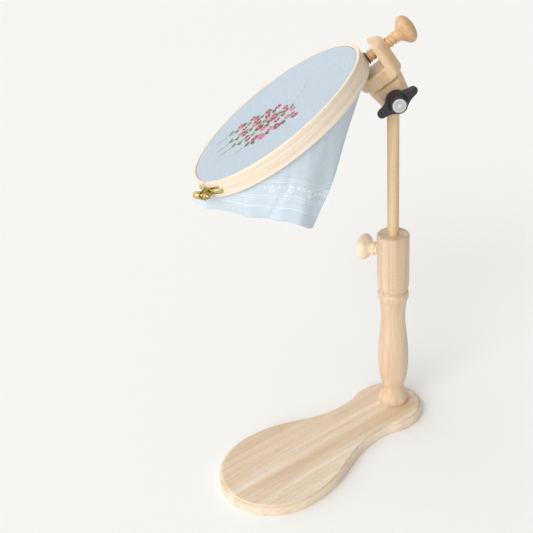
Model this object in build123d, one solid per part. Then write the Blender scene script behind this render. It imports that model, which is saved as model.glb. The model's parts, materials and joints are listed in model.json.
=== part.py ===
from build123d import *
from math import cos, degrees, radians, sin, sqrt
import os

os.makedirs("parts", exist_ok=True)

# Embroidery hoop on a stand: a paddle-shaped foot, a turned post, a dowel that slides and swivels
# in it, a screw clamp that tilts on the dowel's flattened top, and a round hoop with its cloth.
# Millimetres, +Z up. The origin is where the post's axis meets the underside of the foot.
# The clamp's pivot bolt lies along Y, so the hoop tilts in the XZ plane and reaches out towards -X.

# ---------------------------------------------------------------- driving dimensions

# foot board: u runs from the post's axis towards the wide end, v is across
foot_swing = 213.5          # direction of +u from +X, degrees
foot_thickness = 15.0
foot_far_end = 311.0        # u of the tip of the wide end
foot_wide_at = 223.0        # u where the board is widest
foot_half_width = 81.0
foot_waist_at = 66.0        # u of the narrowest place
foot_waist_half = 43.5
foot_heel_at = 12.0         # u where the small lobe is widest
foot_heel_half = 52.5
foot_near_end = -41.0       # u of the end behind the post
foot_flank_fullness = 0.46  # pull of the long S curve, as a share of its length
foot_heel_fullness = 0.62   # pull of the short S curve
foot_step_inset = 4.4       # routed step round the top edge
foot_step_height = 2.6
foot_nose_radius = 4.0
foot_under_round = 1.2

# fixing of the post to the foot
fixing_bolt_r = 3.0
fixing_clearance = 0.05
fixing_head_r = 5.0
fixing_head_height = 3.6
fixing_recess_r = 9.0
fixing_recess_depth = 6.0
fixing_washer_r = 8.0
fixing_washer_thickness = 1.4
fixing_bolt_length = 34.0
fixing_insert_r = 5.0
fixing_insert_length = 20.0

# post, turned
post_height = 289.0         # from the foot's top face
post_foot_r = 22.8
post_neck_r = 16.2
post_belly_r = 22.7
post_waist_r = 17.6
post_bead_r = 22.4
post_groove_r = 19.4
post_cap_r = 22.7
post_cap_length = 90.0
post_cap_round = 3.0
post_bore_depth = 250.0

# dowel
dowel_r = 8.0
dowel_clearance = 0.05
dowel_above_post = 162.0    # from the post's top to the swivel joint, at rest
dowel_in_post = 90.0
swivel_spigot_r = 4.0
swivel_spigot_length = 20.0
swivel_bore_spare = 1.0
tongue_thickness = 8.0
tongue_shoulder_drop = 22.0  # the dowel is round again this far below the pivot
pivot_above_dowel = 34.0     # from the swivel joint to the pivot bolt's axis

# post thumbscrew and its brake pad
wood_screw_r = 7.5
wood_screw_clearance = 0.05
thumbscrew_drop = 30.0       # below the post's top face
thumbscrew_swing = 145.0     # direction from +X, degrees
thumbscrew_knob_r = 19.0
thumbscrew_knob_depth = 22.0
thumbscrew_collar_r = 9.6
thumbscrew_stand_off = 6.0   # from the post's surface to the collar
soft_gap = 0.3
brake_pad_clearance = 0.3     # the pad is this much smaller in radius than its screw
brake_pad_thickness = 2.0
pad_pin_r = 1.5
pad_pin_length = 10.0

# clamp block, in its own frame: s across the jaw, t along its opening, pivot at (0, 0)
clamp_tilt = 33.0
head_r = 28.5
head_axis_s = 1.0
neck_half_depth = 17.0
jaw_half_depth = 22.0
neck_end_t = -13.0
neck_top_t = 24.0
neck_groove_t = 20.5         # a sunk band under the jaw starts here
neck_groove_depth = 3.0
jaw_start_t = 27.5
jaw_floor_t = 42.7
jaw_left_s = -14.0
jaw_right_s = 11.0
head_top_t = 76.0            # top of the dome that both prongs are cut from
head_dome_height = 15.0
head_dome_fullness = 4.0     # 2 is an ellipse, more is squarer
fork_clearance = 0.3
fork_top_clearance = 1.0     # above the dowel's rounded end
jaw_screw_t = 60.0
jaw_screw_neck_s = 42.0
jaw_knob_r = 18.3
jaw_knob_depth = 26.0
jaw_pad_r = 8.0
jaw_pad_thickness = 2.0

# pivot bolt and wing nut
pivot_bolt_r = 3.0
pivot_clearance = 0.05
pivot_head_r = 7.5
pivot_head_height = 4.0
pivot_square_half = 3.0
pivot_square_depth = 4.0
pivot_washer_r = 9.0
pivot_washer_thickness = 1.2
wing_hub_back_r = 14.0
wing_hub_front_r = 10.6
wing_hub_depth = 25.0
wing_span = 58.0
wing_width = 11.0
wing_depth = 9.0
wing_swing = 34.0            # rise of the wings from level, degrees
wing_forward = 5.2           # the wings start this far in front of the hub's back face
wing_insert_r = 4.8
wing_insert_length = 19.0
wing_cap_r = 8.6
wing_cap_thickness = 2.2
wing_gap = 0.2

# hoop
hoop_outer_r = 132.0
ring_thickness = 5.0
ring_height = 23.0
ring_edge_round = 1.2
cloth_gap = 0.6
cloth_clearance = 0.05
hoop_bottom_t = 55.0
hoop_prong_gap = 0.3
split_width = 5.0
clasp_angle = 212.0          # round the hoop from the clamp, degrees

# clasp
plate_thickness = 0.9
plate_height = 11.0
plate_length = 34.0
plate_slot_length = 15.0
plate_slot_height = 4.0
ear_reach = 14.5
ear_from_split = 3.4
hoop_screw_r = 2.0
hoop_screw_reach = 9.5       # from the ring's outer face to the screw's axis
hoop_screw_clearance = 0.05
thumb_head_r = 5.2
thumb_head_length = 16.0
thumb_collar_r = 3.6
thumb_collar_length = 7.0
barrel_nut_r = 4.2
barrel_nut_length = 8.0
rivet_r = 1.6
rivet_head_r = 2.6
rivet_head_height = 1.1

# cloth
panel_thickness = 0.6
skirt_wall = 1.2
skirt_start_angle = 17.0     # the cloth is tucked up this far each side of the clamp
skirt_low_z = 392.0          # height of the level hem
skirt_corner_x = -81.0       # ring position above which the hem starts to rise
skirt_rise = 2.75
skirt_least_drop = 9.0
skirt_lean = 0.2             # sideways shift per millimetre of drop
skirt_step_angle = 7.0

# ---------------------------------------------------------------- worked-out places

post_bottom_z = foot_thickness
post_top_z = post_bottom_z + post_height
thumbscrew_z = post_top_z - thumbscrew_drop
dowel_top_z = post_top_z + dowel_above_post
dowel_bottom_z = post_top_z - dowel_in_post
pivot_z = dowel_top_z + pivot_above_dowel
inner_ring_outer_r = hoop_outer_r - ring_thickness - cloth_gap
inner_ring_inner_r = inner_ring_outer_r - ring_thickness
prong_sagitta = inner_ring_inner_r - sqrt(inner_ring_inner_r ** 2 - jaw_half_depth ** 2)
hoop_s = jaw_left_s + hoop_prong_gap + prong_sagitta - inner_ring_inner_r
hoop_face_s = hoop_s + hoop_outer_r
jaw_pad_s = hoop_face_s + soft_gap

foot_place = Rot(0, 0, foot_swing)
thumbscrew_place = Pos(0, 0, thumbscrew_z) * Rot(0, 0, thumbscrew_swing)
head_place = Pos(0, 0, pivot_z) * Rot(0, -clamp_tilt, 0)
jaw_screw_place = head_place * Pos(0, 0, jaw_screw_t)
hoop_place = head_place * Pos(hoop_s, 0, hoop_bottom_t)


# ---------------------------------------------------------------- helpers

def save(shape, name):
    """Write one named piece."""
    shape.label = name
    export_step(shape, f"parts/{name}.step")


def turned(profile):
    """Solid of revolution about Z from (radius, height) pairs that start and end on the axis."""
    line = Polyline(*[(r, 0, z) for r, z in profile], close=True)
    return revolve(make_face(line), Axis.Z, 360)


def lie_along_x(shape):
    """Turn a piece made along +Z so that it lies along +X."""
    return Rot(0, 90, 0) * shape


def lie_along_minus_y(shape):
    """Turn a piece made along +Z so that it lies along -Y."""
    return Rot(90, 0, 0) * shape


def rod_between(radius, start, end):
    """Cylinder along Z from start to end."""
    return Pos(0, 0, start) * Cylinder(radius, end - start, align=(Align.CENTER, Align.CENTER, Align.MIN))


def block(x0, x1, y0, y1, z0, z1):
    """Box between two corners."""
    return Pos((x0 + x1) / 2, (y0 + y1) / 2, (z0 + z1) / 2) * Box(x1 - x0, y1 - y0, z1 - z0)


def smooth_profile(points, start, end):
    """Face between the Z axis and a smooth curve, closed by straight lines through start and end."""
    curve = Spline(*[(r, 0, z) for r, z in points])
    first, last = points[0], points[-1]
    rest = Polyline((last[0], 0, last[1]), *[(r, 0, z) for r, z in end], *[(r, 0, z) for r, z in start],
                    (first[0], 0, first[1]))
    return make_face([curve, rest])


# ---------------------------------------------------------------- foot

def foot_outline(inset):
    """Paddle outline: two half ellipses joined by S-shaped flanks, symmetric about u."""
    wide_half = foot_half_width - inset
    waist_half = foot_waist_half - inset
    heel_half = foot_heel_half - inset
    far_reach = foot_far_end - inset - foot_wide_at
    near_reach = foot_heel_at - inset - foot_near_end
    flank_pull = (foot_wide_at - foot_waist_at) * foot_flank_fullness
    heel_pull = (foot_waist_at - foot_heel_at) * foot_heel_fullness
    curves = [
        EllipticalCenterArc((foot_wide_at, 0), far_reach, wide_half, -90, arc_size=180),
        EllipticalCenterArc((foot_heel_at, 0), near_reach, heel_half, 90, arc_size=180),
    ]
    for side in (1, -1):
        wide = (foot_wide_at, side * wide_half)
        waist = (foot_waist_at, side * waist_half)
        heel = (foot_heel_at, side * heel_half)
        curves.append(Bezier(wide, (wide[0] - flank_pull, wide[1]), (waist[0] + flank_pull, waist[1]), waist))
        curves.append(Bezier(waist, (waist[0] - heel_pull, waist[1]), (heel[0] + heel_pull, heel[1]), heel))
    return make_face(curves)


def foot_board():
    """Board with a routed step and a rounded nose, drilled and recessed for the post's bolt."""
    lower_height = foot_thickness - foot_step_height
    lower = extrude(foot_outline(0), lower_height)
    lower = fillet(lower.edges().group_by(Axis.Z)[-1], foot_nose_radius)
    lower = fillet(lower.edges().group_by(Axis.Z)[0], foot_under_round)
    upper = Pos(0, 0, lower_height) * extrude(foot_outline(foot_step_inset), foot_step_height)
    upper = fillet(upper.edges().group_by(Axis.Z)[-1], foot_step_height * 0.6)
    board = lower + upper
    board -= rod_between(fixing_bolt_r + fixing_clearance, 0, foot_thickness)
    board -= rod_between(fixing_recess_r, 0, fixing_recess_depth)
    return foot_place * board


def fixing_bolt():
    """Pan-head bolt from under the foot up into the post's insert."""
    seat = fixing_recess_depth - fixing_washer_thickness
    head = rod_between(fixing_head_r, seat - fixing_head_height, seat)
    head = fillet(head.edges().group_by(Axis.Z)[0], 1.2)
    shank = rod_between(fixing_bolt_r, seat, seat + fixing_bolt_length)
    drive = Pos(0, 0, seat - fixing_head_height) * extrude(RegularPolygon(2.0, 6), 2.0)
    return head + shank - drive


def fixing_washer():
    """Flat washer in the recess under the foot."""
    low = fixing_recess_depth - fixing_washer_thickness
    return (rod_between(fixing_washer_r, low, fixing_recess_depth)
            - rod_between(fixing_bolt_r + fixing_clearance, low, fixing_recess_depth))


def fixing_insert():
    """Threaded sleeve pressed into the post's lower end."""
    top = post_bottom_z + fixing_insert_length
    return (rod_between(fixing_insert_r, post_bottom_z, top)
            - rod_between(fixing_bolt_r + fixing_clearance, post_bottom_z, top))


# ---------------------------------------------------------------- post

def post():
    """Turned post, bored from the top for the dowel and from the side for the thumbscrew."""
    z0 = post_bottom_z
    cap_low = post_height - post_cap_length
    handle = [
        (post_foot_r - 1.0, 0.5), (post_foot_r + 0.2, 4.5), (post_foot_r - 0.6, 9.0),
        (post_foot_r - 3.6, 14.5), (post_neck_r + 0.9, 21.0), (post_neck_r, 28.0),
        (post_neck_r + 1.6, 36.5), (post_belly_r - 1.4, 54.0), (post_belly_r, 78.0),
        (post_belly_r - 0.9, 104.0), (post_waist_r + 1.5, 132.0), (post_waist_r, 152.0),
        (post_waist_r + 0.5, 168.0), (post_waist_r + 2.4, 182.0),
    ]
    bead = [
        (post_bead_r - 0.9, cap_low - 13.5), (post_bead_r, cap_low - 10.0), (post_bead_r, cap_low - 4.5),
        (post_bead_r - 1.2, cap_low - 1.8), (post_groove_r, cap_low - 0.6), (post_groove_r, cap_low + 0.6),
        (post_cap_r - 1.6, cap_low + 3.0), (post_cap_r - 0.4, cap_low + 7.0), (post_cap_r, cap_low + 12.0),
        (post_cap_r, post_height),
    ]
    face = smooth_profile([(r, z0 + z) for r, z in handle],
                          [(0, z0), (post_foot_r - 1.0, z0)],
                          [(r, z0 + z) for r, z in bead] + [(0, post_top_z)])
    body = revolve(face, Axis.Z, 360)
    body = fillet(body.edges().group_by(Axis.Z)[-1], post_cap_round)
    body -= rod_between(dowel_r + dowel_clearance, post_top_z - post_bore_depth, post_top_z)
    bolt_hole_top = post_bottom_z + fixing_bolt_length - fixing_recess_depth
    body -= rod_between(fixing_insert_r, post_bottom_z, bolt_hole_top)
    side_hole = lie_along_x(rod_between(wood_screw_r + wood_screw_clearance, 0, post_cap_r + 5))
    return body - thumbscrew_place * side_hole


# ---------------------------------------------------------------- dowel

def dowel():
    """Round dowel, bored at its top for the swivel spigot."""
    body = rod_between(dowel_r, dowel_bottom_z, dowel_top_z)
    body = chamfer(body.edges().group_by(Axis.Z)[0], 1.0)
    bore_bottom = dowel_top_z - swivel_spigot_length - swivel_bore_spare
    return body - rod_between(swivel_spigot_r + dowel_clearance, bore_bottom, dowel_top_z)


def dowel_tongue():
    """Top of the dowel: a flat tongue with a rounded end, drilled for the pivot bolt."""
    body = rod_between(dowel_r, dowel_top_z, pivot_z)
    body += Pos(0, 0, pivot_z) * lie_along_minus_y(Cylinder(dowel_r, 2 * dowel_r))
    shoulder = pivot_z - tongue_shoulder_drop
    for side in (1, -1):
        low, high = sorted((side * tongue_thickness / 2, side * 2 * dowel_r))
        body -= block(-2 * dowel_r, 2 * dowel_r, low, high, shoulder, pivot_z + 2 * dowel_r)
    body += rod_between(swivel_spigot_r, dowel_top_z - swivel_spigot_length, dowel_top_z)
    hole = lie_along_minus_y(Cylinder(pivot_bolt_r + pivot_clearance, 4 * dowel_r))
    return body - Pos(0, 0, pivot_z) * hole


# ---------------------------------------------------------------- wooden screws and their pads

def wooden_screw(tip, neck, knob_profile):
    """Turned screw along +X: a plain cylinder at the thread's outside, then a knob."""
    profile = [(0, tip), (wood_screw_r - 1.0, tip), (wood_screw_r, tip + 1.0), (wood_screw_r, neck)]
    body = turned(profile + [(0, neck)])
    knob = revolve(smooth_profile(knob_profile, [(0, neck)], [(0, knob_profile[-1][1])]), Axis.Z, 360)
    pin_hole = rod_between(pad_pin_r + wood_screw_clearance, tip, tip + pad_pin_length)
    return lie_along_x(body + knob - pin_hole)


def screw_pad(radius, thickness, face):
    """Round pad along +X whose near face is at the given place, drilled for its pin."""
    return lie_along_x(rod_between(radius, face, face + thickness)
                       - rod_between(pad_pin_r, face + thickness / 2, face + thickness))


def pad_pin(pad_face, thickness):
    """Pin that ties a pad to its screw and lets the screw turn."""
    start = pad_face + thickness / 2
    return lie_along_x(rod_between(pad_pin_r, start, start + pad_pin_length))


def thumbscrew():
    """Screw in the side of the post that grips the dowel."""
    tip = dowel_r + soft_gap + brake_pad_thickness + soft_gap
    collar = post_cap_r + thumbscrew_stand_off
    k = thumbscrew_knob_depth
    knob = [
        (wood_screw_r, collar - 2.0), (thumbscrew_collar_r, collar), (thumbscrew_collar_r, collar + 2.6),
        (wood_screw_r + 0.6, collar + 4.6), (wood_screw_r + 2.6, collar + 6.4),
        (thumbscrew_knob_r - 2.6, collar + 10.5), (thumbscrew_knob_r, collar + 16.0),
        (thumbscrew_knob_r - 2.2, collar + 21.0), (thumbscrew_knob_r - 9.0, collar + k + 2.6),
        (0.01, collar + k + 4.6),
    ]
    return thumbscrew_place * wooden_screw(tip, collar - 2.0, knob)


def jaw_screw():
    """Screw through the right prong that presses its pad on the hoop."""
    tip = jaw_pad_s + jaw_pad_thickness + soft_gap
    neck = jaw_screw_neck_s
    length = jaw_knob_depth
    knob = [
        (wood_screw_r - 0.5, neck), (wood_screw_r + 0.6, neck + 0.15 * length),
        (jaw_knob_r * 0.72, neck + 0.32 * length), (jaw_knob_r * 0.95, neck + 0.48 * length),
        (jaw_knob_r, neck + 0.63 * length), (jaw_knob_r * 0.88, neck + 0.80 * length),
        (jaw_knob_r * 0.5, neck + 0.945 * length), (0.01, neck + length),
    ]
    return jaw_screw_place * wooden_screw(tip, neck, knob)


# ---------------------------------------------------------------- clamp block

def head_profile(points):
    """Turned solid on the clamp block's own axis."""
    return Pos(head_axis_s, 0, 0) * turned(points)


def dome_points():
    """(radius, height) pairs down the head's domed end, from just off its axis to its side."""
    points = []
    for angle in (4, 14, 26, 40, 54, 66, 76, 84, 90):
        share = 2 / head_dome_fullness
        radius = head_r * sin(radians(angle)) ** share
        rise = head_dome_height * max(cos(radians(angle)), 0.0) ** share
        points.append((radius, head_top_t - head_dome_height + rise))
    return points


def clamp_block():
    """Turned clamp head with a U-shaped jaw, flattened front and back, and a forked neck."""
    neck = head_profile([
        (0, neck_end_t), (15.0, neck_end_t), (18.6, neck_end_t + 3.0), (20.6, -3.0), (22.4, 10.0),
        (23.6, neck_top_t - 4.0), (23.8, neck_top_t), (0, neck_top_t),
    ])
    neck &= block(-40, 40, -neck_half_depth, neck_half_depth, neck_end_t - 5, neck_top_t)
    sunk = neck_half_depth - neck_groove_depth
    for low, high in ((-neck_half_depth, -sunk), (sunk, neck_half_depth)):
        neck -= block(-40, 40, low, high, neck_groove_t, neck_top_t)
    dome = dome_points()
    jaw_side = [(0, neck_top_t), (22.0, neck_top_t), (head_r - 2.0, neck_top_t + 1.4),
                (head_r, jaw_start_t + 1.0)]
    jaw = revolve(smooth_profile(dome[::-1], jaw_side, [(0, dome[0][1])]), Axis.Z, 360)
    jaw = Pos(head_axis_s, 0, 0) * jaw
    jaw &= block(-40, 40, -jaw_half_depth, jaw_half_depth, neck_top_t, head_top_t + 1)
    jaw -= block(jaw_left_s, jaw_right_s, -40, 40, jaw_floor_t, head_top_t + 1)
    body = neck + jaw
    slot = tongue_thickness / 2 + fork_clearance
    body -= block(-40, 40, -slot, slot, neck_end_t - 5, dowel_r + fork_top_clearance)
    body -= lie_along_minus_y(Cylinder(pivot_bolt_r + pivot_clearance, 80))
    back = neck_half_depth
    body -= block(-pivot_square_half, pivot_square_half, back - pivot_square_depth, back + 1,
                  -pivot_square_half, pivot_square_half)
    bore = lie_along_x(rod_between(wood_screw_r + wood_screw_clearance, jaw_right_s - 1, 40))
    body -= Pos(0, 0, jaw_screw_t) * bore
    return head_place * body


def pivot_bolt():
    """Carriage bolt along Y: domed head and square neck at the back, shank out to the wing nut."""
    back = neck_half_depth
    end = -neck_half_depth - pivot_washer_thickness - wing_gap - wing_insert_length
    dome = turned([(0, back), (pivot_head_r, back), (pivot_head_r - 0.5, back + 1.4),
                   (pivot_head_r * 0.72, back + pivot_head_height * 0.78), (0, back + pivot_head_height)])
    shank = rod_between(pivot_bolt_r, end, back)
    side = 2 * (pivot_square_half - 0.02)
    neck = Pos(0, 0, back - pivot_square_depth / 2) * Box(side, side, pivot_square_depth)
    return head_place * (Rot(-90, 0, 0) * (dome + shank + neck))


def pivot_washer():
    """Flat washer between the fork and the wing nut."""
    ring = Cylinder(pivot_washer_r, pivot_washer_thickness)
    ring -= Cylinder(pivot_bolt_r + pivot_clearance, pivot_washer_thickness)
    middle = -neck_half_depth - pivot_washer_thickness / 2
    return head_place * (Pos(0, middle, 0) * lie_along_minus_y(ring))


# ---------------------------------------------------------------- wing nut, from its back face

def wing_place():
    """The wing nut's back face, looking out along -Y, with the wings at their angle."""
    back = -neck_half_depth - pivot_washer_thickness - wing_gap
    return Pos(0, back, pivot_z) * Rot(90, 0, 0) * Rot(0, 0, wing_swing)


def wing_nut():
    """Moulded hub with two rounded wings and a recess for its cap."""
    hub = turned([(0, 0), (wing_hub_back_r - 0.8, 0), (wing_hub_back_r, 1.0), (wing_hub_back_r, 7.0),
                  (wing_hub_front_r + 0.8, wing_hub_depth - 6.0), (wing_hub_front_r, wing_hub_depth - 1.0),
                  (wing_hub_front_r - 1.0, wing_hub_depth), (0, wing_hub_depth)])
    bar = extrude(SlotOverall(wing_span, wing_width), wing_depth)
    bar = fillet(bar.edges().group_by(Axis.Z)[0] + bar.edges().group_by(Axis.Z)[-1], 2.4)
    body = hub + Pos(0, 0, wing_forward) * bar
    body -= rod_between(wing_insert_r, 0, wing_insert_length)
    body -= rod_between(wing_cap_r, wing_hub_depth - wing_cap_thickness, wing_hub_depth)
    return wing_place() * body


def wing_insert():
    """Threaded sleeve moulded into the wing nut."""
    sleeve = rod_between(wing_insert_r, 0, wing_insert_length)
    return wing_place() * (sleeve - rod_between(pivot_bolt_r + pivot_clearance, 0, wing_insert_length))


def wing_cap():
    """Round cap that closes the wing nut's front."""
    low = wing_hub_depth - wing_cap_thickness
    cap = turned([(0, low), (wing_cap_r, low), (wing_cap_r, wing_hub_depth - 0.5),
                  (wing_cap_r - 0.6, wing_hub_depth + 0.1), (0, wing_hub_depth + 0.3)])
    return wing_place() * cap


# ---------------------------------------------------------------- hoop, round its own lower centre

def ring(outer, height):
    """Plain hoop ring with softened edges."""
    body = rod_between(outer, 0, height) - rod_between(outer - ring_thickness, 0, height)
    return fillet(body.edges().filter_by(GeomType.CIRCLE), ring_edge_round)


def outer_ring():
    """Adjustable ring, split at the clasp and drilled for the rivets."""
    body = ring(hoop_outer_r, ring_height)
    body -= clasp_place() * block(-20, 5, -split_width / 2, split_width / 2, -20, 20)
    for angle in rivet_angles():
        hole = lie_along_x(rod_between(rivet_r, hoop_outer_r - ring_thickness, hoop_outer_r + 1))
        body -= Rot(0, 0, angle) * Pos(0, 0, ring_height / 2) * hole
    return hoop_place * body


def inner_ring():
    """Plain ring that the cloth is stretched over, a cloth's thickness below the outer one."""
    return hoop_place * ring(inner_ring_outer_r, ring_height - panel_thickness - cloth_clearance)


# ---------------------------------------------------------------- clasp

def clasp_place():
    """Frame at the split: X outwards, Y round the hoop, Z along its axis, on the ring's outer face."""
    return Rot(0, 0, clasp_angle) * Pos(hoop_outer_r, 0, ring_height / 2)


def arc_degrees(length):
    """Angle that a length round the ring's outer face takes."""
    return degrees(length / hoop_outer_r)


def rivet_angles():
    """Places of the two rivets of each plate."""
    steps = (ear_from_split + 5.0, plate_length - 3.5)
    return [clasp_angle + side * arc_degrees(step) for side in (1, -1) for step in steps]


def plate(side):
    """Brass plate on the ring's face with an upturned ear at the split; side is +1 or -1."""
    strip = rod_between(hoop_outer_r + plate_thickness, 0, plate_height)
    strip -= rod_between(hoop_outer_r, 0, plate_height)
    start = arc_degrees(ear_from_split)
    end = arc_degrees(plate_length)
    reach = 2 * hoop_outer_r
    low, high = sorted((side * start, side * end))
    wedge = Polyline((0, 0), (reach * cos(radians(low)), reach * sin(radians(low))),
                     (reach * cos(radians(high)), reach * sin(radians(high))), close=True)
    strip &= extrude(make_face(wedge), plate_height)
    window = Box(8, plate_slot_length, plate_slot_height)
    window = fillet(window.edges().filter_by(Axis.X), plate_slot_height * 0.45)
    middle = side * arc_degrees((ear_from_split + plate_length) / 2 + 1.0)
    strip -= Rot(0, 0, middle) * Pos(hoop_outer_r, 0, plate_height / 2) * window
    for step in (ear_from_split + 5.0, plate_length - 3.5):
        hole = lie_along_x(rod_between(rivet_r, hoop_outer_r - 2, hoop_outer_r + 3))
        strip -= Rot(0, 0, side * arc_degrees(step)) * Pos(0, 0, plate_height / 2) * hole
    y0, y1 = sorted((side * ear_from_split, side * (ear_from_split + plate_thickness)))
    ear = block(hoop_outer_r, hoop_outer_r + ear_reach, y0, y1, 0, plate_height)
    corners = ear.edges().filter_by(Axis.Y).group_by(Axis.X)[-1]
    ear = fillet(corners, plate_height * 0.4)
    hole = lie_along_minus_y(Cylinder(hoop_screw_r + hoop_screw_clearance, 20))
    ear -= Pos(hoop_outer_r + hoop_screw_reach, 0, plate_height / 2) * hole
    lift = (ring_height - plate_height) / 2
    return hoop_place * Pos(0, 0, lift) * Rot(0, 0, clasp_angle) * (strip + ear)


def rivets():
    """Four rivets through the plates and the ring, each a separate solid."""
    shank = rod_between(rivet_r, hoop_outer_r - ring_thickness + 1.0, hoop_outer_r + plate_thickness)
    face = hoop_outer_r + plate_thickness
    head = Pos(0, 0, face) * turned([(0, 0), (rivet_head_r, 0), (rivet_head_r * 0.8, rivet_head_height * 0.7),
                                     (0, rivet_head_height)])
    one = lie_along_x(shank + head)
    return Compound([hoop_place * Rot(0, 0, a) * Pos(0, 0, ring_height / 2) * one for a in rivet_angles()])


def screw_axis_place():
    """Frame on the hoop screw's axis: +Z runs round the hoop, past the ear with the nut."""
    return hoop_place * clasp_place() * Pos(hoop_screw_reach, 0, 0) * Rot(-90, 0, 0)


def hoop_screw():
    """Thumb screw that draws the split together: plain shank and a waisted round head."""
    seat = -(ear_from_split + plate_thickness + 0.2)
    end = ear_from_split + plate_thickness + barrel_nut_length + 2.5
    shank = rod_between(hoop_screw_r, seat - 1, end)
    collar = rod_between(thumb_collar_r, seat - thumb_collar_length, seat)
    head_top = seat - thumb_collar_length
    head = turned([(0, head_top), (thumb_head_r * 0.7, head_top), (thumb_head_r, head_top - 1.5),
                   (thumb_head_r, head_top - thumb_head_length + 1.5),
                   (thumb_head_r * 0.7, head_top - thumb_head_length), (0, head_top - thumb_head_length)])
    return screw_axis_place() * (shank + collar + head)


def hoop_nut():
    """Barrel nut brazed to the other ear."""
    low = ear_from_split + plate_thickness
    body = rod_between(barrel_nut_r, low, low + barrel_nut_length)
    body -= rod_between(hoop_screw_r + hoop_screw_clearance, low, low + barrel_nut_length)
    return screw_axis_place() * body


# ---------------------------------------------------------------- cloth

def cloth_panel():
    """Round of cloth stretched over the inner ring's upper edge."""
    radius = hoop_outer_r - ring_thickness - cloth_clearance
    return hoop_place * rod_between(radius, ring_height - panel_thickness, ring_height)


def cloth_collar():
    """Cloth trapped between the two rings."""
    outer = hoop_outer_r - ring_thickness - cloth_clearance
    inner = inner_ring_outer_r + cloth_clearance
    top = ring_height - panel_thickness - cloth_clearance
    return hoop_place * (rod_between(outer, 0, top) - rod_between(inner, 0, top))


def ring_point(angle, radius):
    """Point on the hoop's lower edge, in the object's frame, at an angle round the hoop."""
    s = hoop_s + radius * cos(radians(angle))
    t = hoop_bottom_t - 0.1
    lean = radians(clamp_tilt)
    x = s * cos(lean) - t * sin(lean)
    z = pivot_z + s * sin(lean) + t * cos(lean)
    return Vector(x, radius * sin(radians(angle)), z)


def hem_point(angle, radius):
    """Point on the hem below: level round the far side, rising towards the clamp."""
    top = ring_point(angle, radius)
    hem_z = skirt_low_z + skirt_rise * max(0.0, top.X - skirt_corner_x)
    drop = max(top.Z - hem_z, skirt_least_drop)
    return Vector(top.X - skirt_lean * drop, top.Y, top.Z - drop)


def skirt(first, last):
    """Hanging cloth between two angles: a thin wall of flat facets, closed all round."""
    count = round((last - first) / skirt_step_angle)
    angles = [first + (last - first) * i / count for i in range(count + 1)]
    outside = inner_ring_outer_r + cloth_gap / 2
    rows = []
    for radius in (outside, outside - skirt_wall):
        rows.append([ring_point(a, radius) for a in angles])
        rows.append([hem_point(a, radius) for a in angles])
    top_out, hem_out, top_in, hem_in = rows
    faces = []
    for upper, lower in ((top_out, hem_out), (hem_out, hem_in), (hem_in, top_in), (top_in, top_out)):
        for i in range(count):
            a, b, c, d = upper[i], upper[i + 1], lower[i + 1], lower[i]
            faces.append(Face(Wire.make_polygon([a, b, c], close=True)))
            faces.append(Face(Wire.make_polygon([a, c, d], close=True)))
    for i in (0, count):
        a, b, c, d = top_out[i], hem_out[i], hem_in[i], top_in[i]
        faces.append(Face(Wire.make_polygon([a, b, c], close=True)))
        faces.append(Face(Wire.make_polygon([a, c, d], close=True)))
    return Solid(Shell(faces))


# ---------------------------------------------------------------- write every piece

save(foot_board(), "foot_board")
save(fixing_bolt(), "fixing_bolt")
save(fixing_washer(), "fixing_washer")
save(fixing_insert(), "fixing_insert")
save(post(), "post")
save(dowel(), "dowel")
save(dowel_tongue(), "dowel_tongue")
save(thumbscrew(), "thumbscrew")
brake_face = dowel_r + soft_gap
brake_pad_r = wood_screw_r - brake_pad_clearance
save(thumbscrew_place * screw_pad(brake_pad_r, brake_pad_thickness, brake_face), "brake_pad")
save(thumbscrew_place * pad_pin(brake_face, brake_pad_thickness), "brake_pad_pin")
save(clamp_block(), "clamp_block")
save(pivot_bolt(), "pivot_bolt")
save(pivot_washer(), "pivot_washer")
save(wing_nut(), "wing_nut")
save(wing_insert(), "wing_nut_insert")
save(wing_cap(), "wing_nut_cap")
save(jaw_screw(), "jaw_screw")
save(jaw_screw_place * screw_pad(jaw_pad_r, jaw_pad_thickness, jaw_pad_s), "jaw_pad")
save(jaw_screw_place * pad_pin(jaw_pad_s, jaw_pad_thickness), "jaw_pad_pin")
save(outer_ring(), "outer_ring")
save(inner_ring(), "inner_ring")
save(plate(1), "clasp_plate_front")
save(plate(-1), "clasp_plate_back")
save(rivets(), "clasp_rivets")
save(hoop_screw(), "hoop_screw")
save(hoop_nut(), "hoop_nut")
save(cloth_panel(), "cloth_panel")
save(cloth_collar(), "cloth_collar")
save(skirt(skirt_start_angle, 180), "cloth_skirt_back")
save(skirt(180, 360 - skirt_start_angle), "cloth_skirt_front")
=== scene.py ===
# %% [markdown]
# # Embroidery hoop on a stand
# The object is a table stand for needlework: a paddle-shaped foot, a turned post, a dowel that slides
# in it, and a wooden screw clamp that holds a round hoop with its cloth. The exact shapes come from a
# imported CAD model, which is loaded first and never moved. Blender's part is to give every surface its
# finish, and to replace what CAD can only state plainly: the cloth, the threads, the brass clasp and
# the sanded edges of the wood.
# All lengths are metres in Blender, so sizes are written in millimetres and multiplied by MM.

# %% Load the frame
import json
import math
import random

import bmesh
import bpy
from mathutils import Matrix, Vector


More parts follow.
